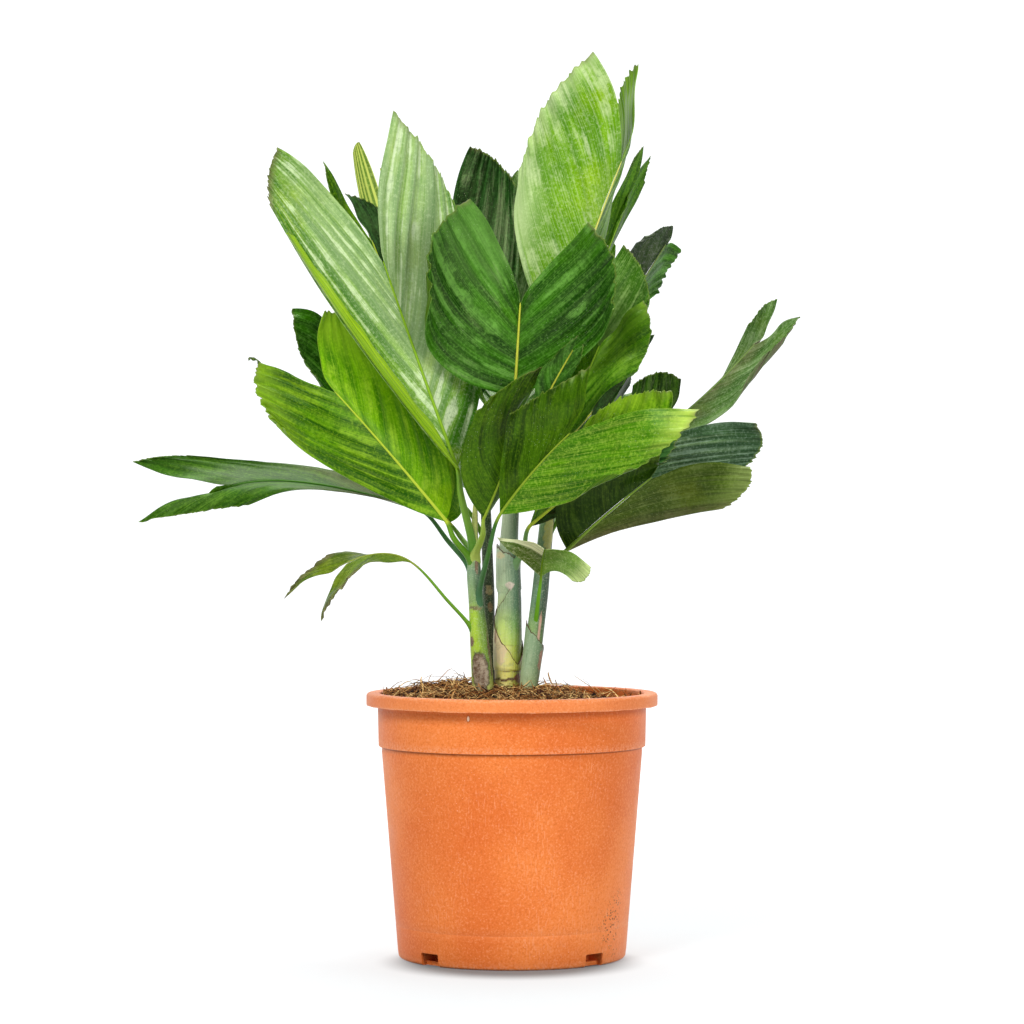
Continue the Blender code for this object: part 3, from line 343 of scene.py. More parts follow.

# Stem paint: colours up the left side and up the right side at heights in millimetres, where the right side is
# darker partly by its own colour and partly as painted shade;
# then patches: azimuth from the front, height, width, half height, colour or bark, raggedness
CANE_LOOKS = {
    "left": (
        ((186, "e8e8aa"), (196, "d8dc78"), (200, "b0ce32"), (248, "acd028"), (256, "8cac60"),
         (278, "84a680"), (292, "acc668"), (310, "dee080")),
        ((186, "cec878"), (196, "bac250"), (204, "7c9e14"), (240, "689214"), (252, "3e643c"),
         (280, "46684c"), (292, "8ca642"), (310, "bec460")),
        ((-0.2, 205, 0.85, 14, "bark", 0.3), (1.15, 218, 0.25, 17, "543a26", 0.35),
         (-0.2, 196, 0.35, 5, "c4ce6e", 0.3), (0.45, 281, 0.3, 5, "705238", 0.5),
         (-0.9, 227, 0.3, 3.5, "6e462c", 0.4), (-0.3, 251, 0.9, 1.4, "78703e", 0.8))),
    "middle": (
        ((186, "f0e8ac"), (198, "f0e282"), (206, "f2e680"), (226, "f0e896"), (240, "d4de7a"),
         (262, "b4ca9c"), (300, "c4d4b2"), (330, "c4d2ae")),
        ((186, "d6d078"), (198, "cec850"), (206, "ced250"), (226, "b0c846"), (240, "80ac4a"),
         (262, "5c8660"), (300, "789476"), (330, "869e7a")),
        ((-0.1, 199, 1.6, 1.0, "603c22", 1.1), (0.6, 205.4, 1.2, 0.5, "967c3c", 0.8),
         (0.9, 200, 0.4, 3.5, "844a30", 0.5))),
    "right": (
        ((186, "becc92"), (200, "a6c294"), (226, "9cb88e"), (236, "86aa60"), (256, "6e9474"),
         (300, "7a9c74"), (340, "84a060")),
        ((186, "8ca460"), (200, "688a50"), (226, "56861e"), (236, "3c642c"), (256, "224834"),
         (300, "406436"), (340, "6e9040")),
        ((0.45, 236, 0.16, 13, "c49882", 0.4), (0.6, 217, 0.4, 4, "8e644c", 0.5),
         (-1.0, 201, 0.5, 4.5, "8e5438", 0.5), (0.2, 222, 0.7, 7, "86ac54", 0.4),
         (0.5, 305, 0.8, 14, "cecc78", 0.5))),
    # back: very dark tones, painted shade for a cane that stands behind the others
    "back": (
        ((186, "28381a"), (240, "1e3418"), (300, "223a1c"), (350, "46682c")),
        ((186, "1e2c14"), (240, "182a14"), (300, "1e321a"), (350, "406028")),
        ((0.1, 263, 0.6, 4, "aa9670", 0.7), (0.3, 251, 0.5, 3, "7e6042", 0.7))),
}
SHEATH_LOW = (
    ((199, "f4ea84"), (214, "f6eaa0"), (232, "f0e6a6"), (250, "c4d870")),
    ((199, "ded85c"), (214, "d2d654"), (232, "aac846"), (250, "78a446")),
    ((-0.6, 222, 0.5, 12, "f0d8a8", 0.4), (-1.0, 231, 0.12, 7, "be9270", 0.5)))
SHEATH_HIGH = (
    ((222, "e0ec7c"), (238, "c4dc74"), (252, "b4cc96"), (285, "bcceac")),
    ((222, "b8d454"), (238, "74a24c"), (252, "507c5a"), (285, "628668")),
    ((0.1, 267, 0.35, 2.6, "e2d0be", 0.6), (-0.8, 289, 0.5, 2.5, "d6cca0", 0.6)))
SHEATH_RIGHT = (
    ((188, "bccc98"), (210, "a6c096"), (240, "8caa82")),
    ((188, "a0b680"), (210, "76966a"), (240, "60825c")),
    ((1.0, 214, 0.3, 8, "966c54", 0.5),))
# Sheaths: name, cane, foot, notch, its azimuth from the front, slope, swell, paint, blotches, flare
SHEATHS = (
    ("middle_low", "middle", 0.2055, 0.2105, 0.75, 0.0166, 0.0006, SHEATH_LOW, 0.3, 0.0006),
    ("middle_high", "middle", 0.224, 0.245, -1.45, 0.0150, 0.0002, SHEATH_HIGH, 0.3, 0.0006),
    ("middle_top", "middle", 0.262, 0.2845, 1.3, 0.0050, 0.0010, SHEATH_HIGH, 0.5, 0.0010),
    ("right_low", "right", 0.190, 0.221, 1.5, 0.0085, 0.0006, SHEATH_RIGHT, 0.3, 0.0006),
)
SHEATH_SIDES, SHEATH_ROWS = 80, 36
BARK_DEPTH = 0.0004


# Helpers

def linear(tone):
    """Linear RGBA of an sRGB colour written as six hex digits."""
    parts = [int(tone[place:place + 2], 16) / 255 for place in (0, 2, 4)]
    return tuple(p / 12.92 if p <= 0.04045 else ((p + 0.055) / 1.055) ** 2.4 for p in parts) + (1.0,)


def smooth(low, high, values):
    share = np.clip((values - low) / (high - low), 0, 1)
    return share * share * (3 - 2 * share)


def wave(turns):
    return np.sin(FULL_TURN * turns)


def within(edge, share):
    """One inside, smoothly down to zero at both ends of a share from 0 to 1."""
    return smooth(0, edge, share) * smooth(0, edge, 1 - share)


def unit(vectors):
    return vectors / np.maximum(np.linalg.norm(vectors, axis=-1, keepdims=True), 1e-12)


def square_to(along, across):
    return unit(across - (across * along).sum(-1, keepdims=True) * along)


def grid(first, second):
    return np.meshgrid(first, second, indexing="ij")


def circle(sides):
    return np.linspace(0, FULL_TURN, sides, endpoint=False)


def spin(radius, angles, height, x=0.0, y=0.0):
    """Points at azimuths and a radius round an upright axis."""
    return np.stack(np.broadcast_arrays(x + radius * np.cos(angles), y + radius * np.sin(angles), height), -1)


def oval(angles, width, height):
    return np.stack([np.cos(angles) * width, np.sin(angles) * height], -1)


def ring_faces(index, flip=False):
    """Quads between the closed rings of an index of points."""
    after = np.roll(index, -1, axis=1)
    corners = [index[:-1], after[:-1], after[1:], index[1:]]
    if flip:
        corners[1], corners[3] = corners[3], corners[1]
    return [*np.stack(corners, -1).reshape(-1, 4)]


def lathe(first, rings, last, flip=False):
    """Closed skin of rings between two end points: its points and faces."""
    points = np.concatenate([[first], rings.reshape(-1, 3), [last]])
    index = 1 + np.arange(len(points) - 2).reshape(rings.shape[:2])
    a, b = index[[0, -1]], np.roll(index[[0, -1]], -1, axis=1)
    if flip:
        a, b = b, a
    faces = [(0, *pair) for pair in zip(b[0], a[0])] + [(len(points) - 1, *pair) for pair in zip(a[1], b[1])]
    return points, faces + ring_faces(index, flip)


def tube(centres, across, ups, shape):
    """Closed tube: shape gives (width, height) offsets, one row for each centre."""
    points = centres[:, None] + across[:, None] * shape[..., :1] + ups[:, None] * shape[..., 1:]
    index = np.arange(shape[..., 0].size).reshape(shape.shape[:2])
    return points, [*ring_faces(index), index[0, ::-1], index[-1]]


def grid_normals(middle):
    return unit(np.cross(np.gradient(middle, axis=0), np.gradient(middle, axis=1)))


def shell(middle, thickness):
    """Closed sheet round a grid of middle points: its points, upper side first, and its faces."""
    index = np.arange(middle[..., 0].size).reshape(middle.shape[:2])
    lift = grid_normals(middle) * thickness / 2
    quads = np.stack([index[:-1, :-1], index[:-1, 1:], index[1:, 1:], index[1:, :-1]], -1).reshape(-1, 4)
    border = np.concatenate([index[0, :-1], index[:-1, -1], index[-1, :0:-1], index[:0:-1, 0]])
    after = np.roll(border, -1)
    edges = np.stack([border, after, after + index.size, border + index.size], -1)
    return np.stack([middle + lift, middle - lift]), [*quads[:, ::-1], *(quads + index.size), *edges]


def show(name, data):
    obj = bpy.data.objects.new(name, data)
    bpy.context.scene.collection.objects.link(obj)
    return obj


class Parts:
    """Collects points, faces and attributes of one mesh."""

    def __init__(self):
        self.points, self.faces, self.values, self.count = [], [], [], 0

    def add(self, points, faces, **values):
        """An attribute is one number for all points, one for each, or one for each of a shell's upper side."""
        points = np.asarray(points).reshape(-1, 3)
        self.faces.extend((np.asarray(face) + self.count).tolist() for face in faces)
        self.points.append(points)
        self.values.append(values)
        self.count += len(points)

    def build(self, name, finish, nodes=(), sharp=40):
        """A smooth-shaded object on the root body."""
        mesh = bpy.data.meshes.new(name)
        mesh.from_pydata(np.concatenate(self.points).tolist(), [], self.faces)
        for key in {key: None for values in self.values for key in values}:
            kind, field, wide = ("FLOAT_VECTOR", "vector", 3) if key == "tint" else ("FLOAT", "value", 1)
            columns = []
            for points, values in zip(self.points, self.values):
                numbers = np.asarray(values.get(key, 0.0), dtype=np.float32).reshape(-1, wide)
                columns.append(np.tile(numbers, (len(points) // len(numbers), 1)))
            mesh.attributes.new(key, kind, "POINT").data.foreach_set(field, np.concatenate(columns).ravel())
        mesh.materials.append(finish)
        mesh.update()
        mesh.shade_smooth()
        mesh.set_sharp_from_angle(angle=math.radians(sharp))
        obj = show(name, mesh)
        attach(obj, "root")
        if nodes:
            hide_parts(*nodes)
        return obj


# Fronds

def seen(point):
    """World place of a point that the eye sees at x and height on the stems' plane."""
    x, height, depth = (value * MM for value in point)
    scale = (EYE_DISTANCE + depth) / EYE_DISTANCE
    return np.array((x * scale, depth, EYE_HEIGHT + (height - EYE_HEIGHT) * scale))


def arc(start, middle, end, t):
    """Points of the parabola that runs through three points; t has a last axis of one."""
    control = 2 * middle - (start + end) / 2
    return (1 - t) ** 2 * start + 2 * t * (1 - t) * control + t * t * end


class Lobe:
    """One half of a blade: s runs up the midrib and t out along the veins."""

    def __init__(self, girth, points, sign):
        points = [seen(point) for point in points]
        self.rib, first = points[:3], 3 if sign > 0 else 8
        self.belly, self.corner, self.crown, self.tip, self.inner = points[first:first + 5]
        self.rib_base = RIB_BASE * girth * MM
        self.sign = sign
        self.cut_length = np.linalg.norm(self.tip - self.corner)
        self.vein_length = np.linalg.norm(self.crown - self.rib[1])

    def seam(self, s):
        """Where the blade leaves the midrib, half a rib's width from its middle."""
        middle = arc(*self.rib, s)
        along = unit(arc(*self.rib, np.minimum(s + 0.02, 1)) - arc(*self.rib, np.maximum(s - 0.02, 0)))
        half_way = arc(self.corner, self.crown, self.tip, np.full_like(s, 0.5))
        across = square_to(along, arc(self.belly, half_way, self.inner, s) - middle)
        return middle + across * (self.rib_base + (RIB_FORK - self.rib_base) * s)

    def point(self, s, t):
        s, t = s[..., None], t[..., None]
        base, fork = self.seam(np.zeros_like(s)), self.seam(np.ones_like(s))
        sides = (1 - t) * self.seam(s) + t * arc(self.corner, self.crown, self.tip, s)
        ends = (1 - s) * arc(base, self.belly, self.corner, t) + s * arc(fork, self.inner, self.tip, t)
        corners = (1 - s) * ((1 - t) * base + t * self.corner) + s * ((1 - t) * fork + t * self.tip)
        return sides + ends - corners


def tooth_line(s, count, random):
    """How far the cut edge stands out at s: uneven teeth that lean to the tip, from 0 to 1."""
    bounds = np.concatenate([[0], np.cumsum(random.uniform(0.4, 1.6, count))])
    bounds /= bounds[-1]
    heights = random.uniform(0.15, 1.0, count)
    number = np.clip(np.searchsorted(bounds, s, side="right") - 1, 0, count - 1)
    inside = (s - bounds[number]) / (bounds[number + 1] - bounds[number])
    saw = np.minimum(inside / TOOTH_PEAK, (1 - inside) / (1 - TOOTH_PEAK))
    return saw * heights[number] * within(0.02, s)


def fold_line(s, count, random):
    """Broad rolls with narrow valleys, unevenly spaced along s, from 0 to 1."""
    warped = s
    for turns in (1, 2, 3):
        warped = warped + 0.25 / (FULL_TURN * turns) * wave(turns * s + random.uniform(0, 1))
    return (0.5 - 0.5 * np.cos(FULL_TURN * (count * warped + random.uniform(0, 1)))) ** 0.7


def ripple(points, random):
    """Small soft unevenness in space, from -1 to 1."""
    return sum(
        np.sin(points @ (unit(random.normal(size=3)) * FULL_TURN / length) + random.uniform(0, FULL_TURN))
        for length in (0.013, 0.019, 0.027, 0.038)) / 4


def blade(lobe, look, cup, calm, random):
    """Middle surface of a lobe with folds, waves and teeth, and the s, t and fold height of its points."""
    def swing(turns):
        return wave(turns + random.uniform(0, 1))

    folds, relief, tooth = look[4:]
    share = min(1.0, lobe.cut_length / 0.050 + 0.25)
    s, t = grid(np.linspace(0, 1, int(STATIONS * share)),
                np.linspace(0, 1, int(VEIN_STEPS * min(1.0, lobe.vein_length / 0.080 + 0.25))))
    ridge = fold_line(s, max(2, round(folds * share)), random)
    strength = 0.75 + 0.35 * swing(0.9 * t + 0.8 * s)
    ridge = 0.75 + (ridge - 0.75) * calm * np.clip(strength, 0.3, 1)
    teeth = tooth_line(s, max(6, int(TOOTH_COUNT * share)), random)
    width = min(1.0, lobe.cut_length / 0.055)
    reach = ((teeth - 0.5) * tooth + (ridge - 0.7) * 0.9) * MM * width / lobe.vein_length
    middle = lobe.point(s, t * (1 + reach * smooth(0.6, 1, t) * within(0.04, s)))
    normal = grid_normals(middle) * -lobe.sign
    lift = (ridge - 0.6) * relief * MM * width * smooth(0, 0.3, t) * within(0.05, s)
    slow = swing(1.1 * t) * (1 - s) ** 2 + swing(1.4 * t) * s ** 2 + 0.6 * swing(0.9 * t + 1.3 * s)
    lift += slow * WAVE_DEPTH * width * smooth(0, 0.3, t)
    lift += ripple(middle, random) * RIPPLE * smooth(0, 0.2, t)
    lift += cup * lobe.vein_length * np.sin(math.pi * t ** 0.8)
    lift += (swing(5.5 * s) + swing(9.1 * s)) * CURL * width * smooth(0.8, 1, t)
    return middle + normal * lift[..., None], s, t, ridge


def hermite(a, slope_a, b, slope_b, t):
    return ((2 * t ** 3 - 3 * t ** 2 + 1) * a + (t ** 3 - 2 * t ** 2 + t) * slope_a
            + (3 * t ** 2 - 2 * t ** 3) * b + (t ** 3 - t ** 2) * slope_b)


def cane_at(name, height):
    """x, y and radius of a cane at heights in metres."""
    rows = np.array(CANES[name]).T * MM
    return [np.interp(height, rows[0], column) for column in rows[1:]]


def stalk_path(start, bend, base, ahead):
    """Points from the cane's middle at the stalk's root to the blade's base."""
    through = [start, base] if bend is None else [start, seen(bend), base]
    slopes = [unit(unit(through[1] - start) + np.array((0, 0, STALK_RISE))), ahead]
    if bend:
        slopes.insert(1, unit(base - start))
    points = []
    for a, b, slope_a, slope_b in zip(through, through[1:], slopes, slopes[1:]):
        reach = np.linalg.norm(b - a)
        for step in range(STALK_SAMPLES):
            points.append(hermite(a, slope_a * reach, b, slope_b * reach, step / STALK_SAMPLES))
    return np.array(points)


def stalk_and_rib(parts, name, cane, root, girth, bend, left, right):
    """Round stalk with a shallow channel, which runs on as the midrib to the fork."""
    root, girth = root * MM, girth * MM
    x, y, thick_cane = cane_at(cane, root)
    stations = np.linspace(0, 1, RIB_STATIONS)
    rib = arc(*left.rib, stations[:, None])
    across_rib = unit(right.seam(stations[:, None]) - left.seam(stations[:, None]))
    path = stalk_path(np.array((x, y, root)), bend, rib[0], unit(rib[1] - rib[0]))
    centres = np.concatenate([path, rib])
    along = unit(np.gradient(centres, axis=0))
    across = square_to(along, np.concatenate([np.repeat(across_rib[:1], len(path), axis=0), across_rib]))
    stalk = np.linspace(0, 1, len(path))
    steps = np.linalg.norm(np.diff(centres[:len(path) + 1], axis=0), axis=1)
    gone = np.concatenate([[0], np.cumsum(steps)])[:-1]
    socket = max(0.85 * thick_cane - girth, 0) * np.exp(-(gone / (1.5 * thick_cane)) ** 2)      # a wide foot
    rib_width = 1.1 * left.rib_base
    fork = FORK_WIDTHS.get(name, FORK_WIDTH) * MM
    swell = 1 + (STALK_SWELLS.get(name, STALK_SWELL) - 1) * (1 - stalk)
    width = np.concatenate([(girth + (rib_width - girth) * stalk ** 1.5) * swell + socket,
                            rib_width + (fork - rib_width) * stations ** 0.7])
    height = width * np.concatenate([np.full(len(path), 0.92), 0.92 - 0.2 * stations])
    width[-1] *= 0.4
    height[-1] *= 0.4
    angles = circle(STALK_SIDES)
    channel = 0.2 * np.exp(-((angles - math.pi / 2) / 0.45) ** 2)
    groove = np.concatenate([np.ones(len(path)), 1 - smooth(0, 0.15, stations)])
    radial = 1 - channel * groove[:, None]
    shape = oval(angles, width[:, None] * radial, height[:, None] * radial)
    run = np.concatenate([-1 + stalk, stations])
    parts.add(*tube(centres, across, np.cross(across, along), shape),
              s=np.repeat(run, STALK_SIDES), side=1, rib=1, ridge=1)


def folded_margin(parts, lobe, width, thick):
    """The lower margin, folded back over the upper side in a long strip."""
    along, share = grid(np.linspace(0.0, 0.9, 70), np.linspace(0, 1, 14))
    edge = lobe.point(np.zeros_like(along), along)
    inward = unit(lobe.point(np.full_like(along, 0.12), along) - edge)
    outward = unit(np.cross(inward, np.gradient(edge, axis=0)))
    outward *= -np.sign(outward[..., 1:2])
    span = width * (1 - smooth(0.45, 0.9, along) * 0.6) * smooth(0, 0.08, along) * smooth(0, 0.06, 0.9 - along)
    span = span * (1 + 0.07 * np.sin(31 * along) + 0.05 * np.sin(57 * along + 1))       # a ragged edge
    turn = np.clip(share / 0.3, 0, 1) * math.pi - math.pi / 2
    flat = np.clip((share - 0.3) / 0.7, 0, 1)
    shift = -thick * np.cos(turn) + flat * span
    lift = thick * (1 + np.sin(turn)) * (1 - 0.35 * flat) + 0.0004 * np.sin(23 * along) * flat
    # its ridge is a pattern across the strip, which steers the painted shade and sheen
    parts.add(*shell(edge + inward * shift[..., None] + outward * lift[..., None], BLADE),
              s=0.3 * share, t=along, ridge=0.2 + 0.8 * np.abs(np.sin(5.5 * share + 0.8)))


def tendril(parts, tip):
    """A dried thread, curled up at the tip of a lobe."""
    share = np.linspace(0, 1, 22)
    turn = 2.5 - 0.5 * np.sin(9 * share) + 3.2 * smooth(0.7, 1.0, share)
    step = 0.0007 * (1 - 0.4 * share)
    across, up = np.cumsum(np.cos(turn) * step), np.cumsum(np.sin(turn) * step)
    centres = tip + np.stack([across, 0.002 * share, up], -1)
    along = unit(np.gradient(centres, axis=0))
    across = np.broadcast_to((0.0, 1.0, 0.0), along.shape)
    girth = 0.0010 * (1 + 0.5 * np.sin(14 * share[:, None]))
    parts.add(*tube(centres, across, np.cross(across, along), oval(circle(6), girth, girth)),
              s=0.5, t=0.5, side=1, stain=0.5)


def marked(rows, s, t):
    """Where a lobe has a mark, from 0 to 1: the strongest of the rows, each a product of smooth steps."""
    total = np.zeros_like(s)
    for strength, *steps in rows:
        for axis, low, high in zip(*[iter(steps)] * 3):
            strength = strength * smooth(low, high, {"s": s, "t": t}[axis])
        total = np.maximum(total, strength)
    return total


def washed(name, half, s, t):
    """Where a lobe is mixed toward its light tone, from 0 to 1: bleached parts, and on low_left a painted
    sheen.
    """
    if name == "striped":
        return smooth(0.35, 0.8, wave(2.6 * s + 0.1) ** 2)
    wash = marked(BLEACH_AND_SHEEN.get(name, ((), ()))[half], s, t)
    return wash + 0.05 if name == "torn" and half else wash


def make_frond(name, cane, root, girth, bend, *points):
    node = "frond_" + name
    look = FROND_LOOKS.get(name, DEFAULT_LOOK)
    random = np.random.default_rng(SEED + sum(map(ord, node)))
    lobes = [Lobe(girth, points, sign) for sign in (1, -1)]
    parts = Parts()
    for half, lobe in enumerate(lobes):
        middle, s, t, ridge = blade(lobe, look, CUPS.get(name, CUP), CALM.get(name, (1, 1))[half], random)
        upper = np.repeat([1.0 - half, half], s.size)
        stain = marked(STAINS.get(name, (TIP_STAIN, TIP_STAIN))[half], s, t)
        parts.add(*shell(middle, BLADE), s=s, t=t, side=upper, rib=0, ridge=ridge, lobe=half,
                  wash=washed(name, half, s, t), stain=stain)
        if name == "low_left" and not half:
            tendril(parts, middle[-4, -2])
    stalk_and_rib(parts, name, cane, root, girth, bend, *lobes)
    if name == "high_left":
        folded_margin(parts, lobes[0], 0.0165, 0.0016)
    parts.build(node + "_leaf", leaf_material(name, look, random), [node])


# Materials

class Flow:
    """An output socket with arithmetic: each operation adds a node."""

    def __init__(self, nodes, socket):
        self.nodes, self.socket = nodes, socket

    def __add__(self, other):
        return self.nodes.math("ADD", self, other)

    def __sub__(self, other):
        return self.nodes.math("SUBTRACT", self, other)

    def __mul__(self, other):
        return self.nodes.math("MULTIPLY", self, other)

    def step(self, low, high, at_low=0.0, at_high=1.0):
        """Smooth step of the value from low to high."""
        return self.nodes.node("MapRange", "Result", {
            "Value": self, "From Min": low, "From Max": high, "To Min": at_low, "To Max": at_high,
        }, interpolation_type="SMOOTHSTEP")


class Nodes:
    """Short names for building a node tree. A colour is written as six hex digits."""

    def __init__(self, name):
        self.material = bpy.data.materials.new(name)
        self.material.use_nodes = True
        self.tree = self.material.node_tree
        self.shader = self.tree.nodes["Principled BSDF"]
        self.place = self.node("TexCoord", "Object")

    def link(self, source, socket):
        if isinstance(source, Flow):
            self.tree.links.new(source.socket, socket)
        else:
            socket.default_value = linear(source) if isinstance(source, str) else source

    def node(self, kind, output, inputs=(), **settings):
        node = self.tree.nodes.new("ShaderNode" + kind)
        for key, value in settings.items():
            setattr(node, key, value)
        for key, source in dict(inputs).items():
            self.link(source, node.inputs[key])
        return Flow(self, node.outputs[output])

    def attribute(self, name, output="Fac"):
        return self.node("Attribute", output, attribute_name=name)

    def math(self, operation, a, b):
        return self.node("Math", 0, {0: a, 1: b}, operation=operation)

    def mix(self, share, a, b, blend="MIX"):
        return self.node("Mix", "Result", {"Factor": share, "A": a, "B": b}, data_type="RGBA", blend_type=blend)

    def coat(self, colour, *layers):
        """Lay colours over one another, each by its share."""
        for share, tone in layers:
            colour = self.mix(share, colour, tone)
        return colour

    def noise(self, scale, detail=3.0, roughness=0.5, vector=None):
        return self.node("TexNoise", "Fac", {
            "Vector": vector or self.place, "Scale": scale, "Detail": detail, "Roughness": roughness})

    def bands(self, x, y, shift, detail, roughness=0.5):
        """Noise over two values."""
        vector = self.node("CombineXYZ", 0, {0: x, 1: y, 2: shift})
        return self.noise(1.0, detail, roughness, vector)

    def spots(self, scale):
        """Distance to the nearest of scattered points."""
        return self.node("TexVoronoi", "Distance", {"Vector": self.place, "Scale": scale})

    def drawn_up(self, share):
        """The place with its height shrunk to a share, which makes marks tall."""
        return self.node("Mapping", "Vector", {"Vector": self.place, "Scale": (1.0, 1.0, share)})

    def distance(self, vector, point):
        return self.node("VectorMath", "Value", {0: vector, 1: point}, operation="DISTANCE")

    def bump(self, height, distance, strength):
        normal = self.node("Bump", "Normal", {"Height": height, "Distance": distance, "Strength": strength})
        self.link(normal, self.shader.inputs["Normal"])

    def finish(self, colour, roughness, **constants):
        self.link(colour, self.shader.inputs["Base Color"])
        self.link(roughness, self.shader.inputs["Roughness"])
        for key, number in constants.items():
            self.shader.inputs[key.replace("_", " ")].default_value = number
        return self.material


def leaf_material(name, look, random):
    """Satin leaf: two lobes' tones, painted shade in the fold valleys, a painted cloudy sheen on the crests,
    fine veins, specks and a dry margin.
    """
    left_tone, right_tone, sheen, roughness, _, relief, _ = look
    # depth: how strongly the fold valleys get painted shade
    depth = min(1.0, 0.15 + 0.45 * relief)
    n = Nodes("leaf_frond_" + name)
    s, t, side, rib, ridge, lobe, wash, stain = (
        n.attribute(key) for key in ("s", "t", "side", "rib", "ridge", "lobe", "wash", "stain"))
    deep, main, light, under, midrib = (
        n.mix(lobe, *pair) for pair in zip(LEAF_TONES[left_tone].split(), LEAF_TONES[right_tone].split()))
    seed = random.uniform(0, 50)
    coarse, wander, rise = (15.0, 0.7, 1.9) if name in BROAD_FOLDS else (34.0, 1.4, 1.15)
    broad = n.bands(s * 9.0, t * 1.1, seed + 7, 2.0)
    streak = n.bands(s * coarse, t, seed, 3.0, 0.55)
    fibre = n.bands(s * 150.0, t * 1.8, seed + 3, 2.0)
    clouds, blotches, grain = n.noise(34.0, 5.0, 0.62), n.noise(90.0, 4.0, 0.6), n.noise(520.0, 3.0, 0.7)
    warm = n.mix(1.0, main, (1.5, 1.15, 0.3, 1.0), "MULTIPLY")
    # crest: where the painted sheen lies, on fold crests broken up by streaks and clouds
    crest = (ridge - 0.8) * (rise * depth) + (streak - 0.5) * wander + (clouds - 0.5) * 2.2 + 0.45
    vein = n.math("PINGPONG", s * 19.0, 0.5).step(0.0, 0.03, 1.0, 0.0)
    dusty = n.spots(520.0).step(0.06, 0.15, 1.0, 0.0) * n.noise(26.0).step(0.5, 0.66)
    # upper side: the ridge step is painted shade in the fold valleys, the crest step is painted sheen
    upper = n.coat(
        n.mix(broad.step(0.36, 0.56), deep, main),
        (n.noise(23.0).step(0.5, 0.68, 0.0, 0.6), warm), (ridge.step(0.05, 0.8, depth, 0.0), deep),
        (n.noise(14.0, 2.0).step(0.4, 0.58, 0.6, 0.0), deep), (crest.step(0.4, 0.75) * sheen, light),
        (blotches.step(0.5, 0.66, 0.0, 0.4), deep), (fibre.step(0.52, 0.60, 0.0, 0.2), light),
        (fibre.step(0.40, 0.47, 0.34, 0.0), deep), (vein * 0.4, light),
        (grain.step(0.5, 0.66, 0.0, 0.3), light), (grain.step(0.34, 0.48, 0.42, 0.0), deep),
        # bleached parts, and on low_left a painted sheen
        (wash * streak.step(0.3, 0.55, 0.45, 1.0), light),
        (dusty * 0.6, "c4d6aa"), (t.step(0.982, 0.995) * 0.4, "8ca046"))
    lower = n.coat(under, (streak.step(0.38, 0.6, 0.0, 0.6), deep), (fibre.step(0.5, 0.6, 0.0, 0.12), light),
                   (vein * 0.3, light))
    brown = n.mix(blotches.step(0.4, 0.6), "544e34", "7e7454")
    foot, head = STALK_TONES.get(name, STALK_DEFAULT).split()
    stalk = n.coat(foot, (s.step(-1.0, -0.45), head), (clouds.step(0.45, 0.7, 0.0, 0.4), foot),
                   (s.step(-0.15, 0.0), midrib))
    colour = n.coat(upper, (side.step(0.4, 0.6, 1.0, 0.0), lower),
                    (stain * streak.step(0.3, 0.6, 0.5, 1.0), brown), (rib, stalk))
    n.bump(fibre * 0.5 + vein * 0.5 + blotches * 0.9, 0.0004, 0.45)
    return n.finish(colour, clouds * 0.12 + (roughness - 0.05), Specular_Tint=(0.8, 1.0, 0.45, 1.0),
                    Specular_IOR_Level=0.24 if left_tone in DULL_TONES else 0.36)


def pot_material():
    """Sandy plastic with drawn scratches, dust, worn edges, a chip and dirt at the foot."""
    n = Nodes("moulded_plastic")
    shade, edge, pale, dirt = (n.attribute(key) for key in ("shade", "edge", "pale", "dirt"))
    clouds, sandy = n.noise(11.0, 5.0), n.noise(620.0, 3.0, 0.7)
    drawn = n.noise(1100.0, 2.0, vector=n.drawn_up(0.12)).step(0.56, 0.7)
    dust = []
    for scale, size, strength in ((330.0, 0.11, 0.55), (140.0, 0.05, 0.7)):
        specks, patches = n.spots(scale).step(size * 0.4, size, 1.0, 0.0), n.noise(15.0 + scale / 20)
        dust.append((specks * patches.step(0.45, 0.62) * strength, "fcd6be"))
    spots = n.spots(480.0).step(0.26, 0.4, 1.0, 0.0) * n.noise(190.0).step(0.4, 0.5)
    chip = n.distance(n.drawn_up(CHIP_TALL), (CHIP[0], CHIP[1], CHIP[2] * CHIP_TALL))
    colour = n.coat(
        n.mix(clouds.step(0.3, 0.72), "de6e31", "ef8643"),
        (sandy.step(0.52, 0.66, 0.0, 0.26), "fab684"), (sandy.step(0.36, 0.47, 0.3, 0.0), "be4c12"),
        (drawn * n.noise(17.0).step(0.42, 0.66) * 0.28, "faba92"), *dust, (shade * 0.75, "60220a"),
        (edge * n.noise(700.0).step(0.42, 0.6) * 0.4, "f8be98"), (pale * 0.14, "f0a87a"),
        (dirt * spots * 0.85, "5c2e16"), (chip.step(0.0009, 0.0018, 0.5, 0.0), "96421e"),
        (chip.step(0.0006, 0.0011, 1.0, 0.0), "fadebe"))
    n.bump(n.noise(1200.0, 2.0) + clouds * 3.0, 0.00012, 0.4)
    return n.finish(colour, n.noise(60.0) * 0.2 + 0.36,
                    Specular_IOR_Level=0.24, Specular_Tint=(1.0, 0.62, 0.36, 1.0))


def soil_material(name, dark, middle, pale):
    """Earthy colours picked by each grain's or strand's own value."""
    n = Nodes(name)
    grain, mottle = n.attribute("grain"), n.noise(500.0, 4.0)
    colour = n.coat(dark, (grain.step(0.0, 0.55), middle), (grain.step(0.55, 1.0), pale),
                    (mottle.step(0.4, 0.7, 0.0, 0.6), dark))
    n.bump(mottle, 0.0008, 0.7)
    return n.finish(colour, 0.88, Specular_IOR_Level=0.25)


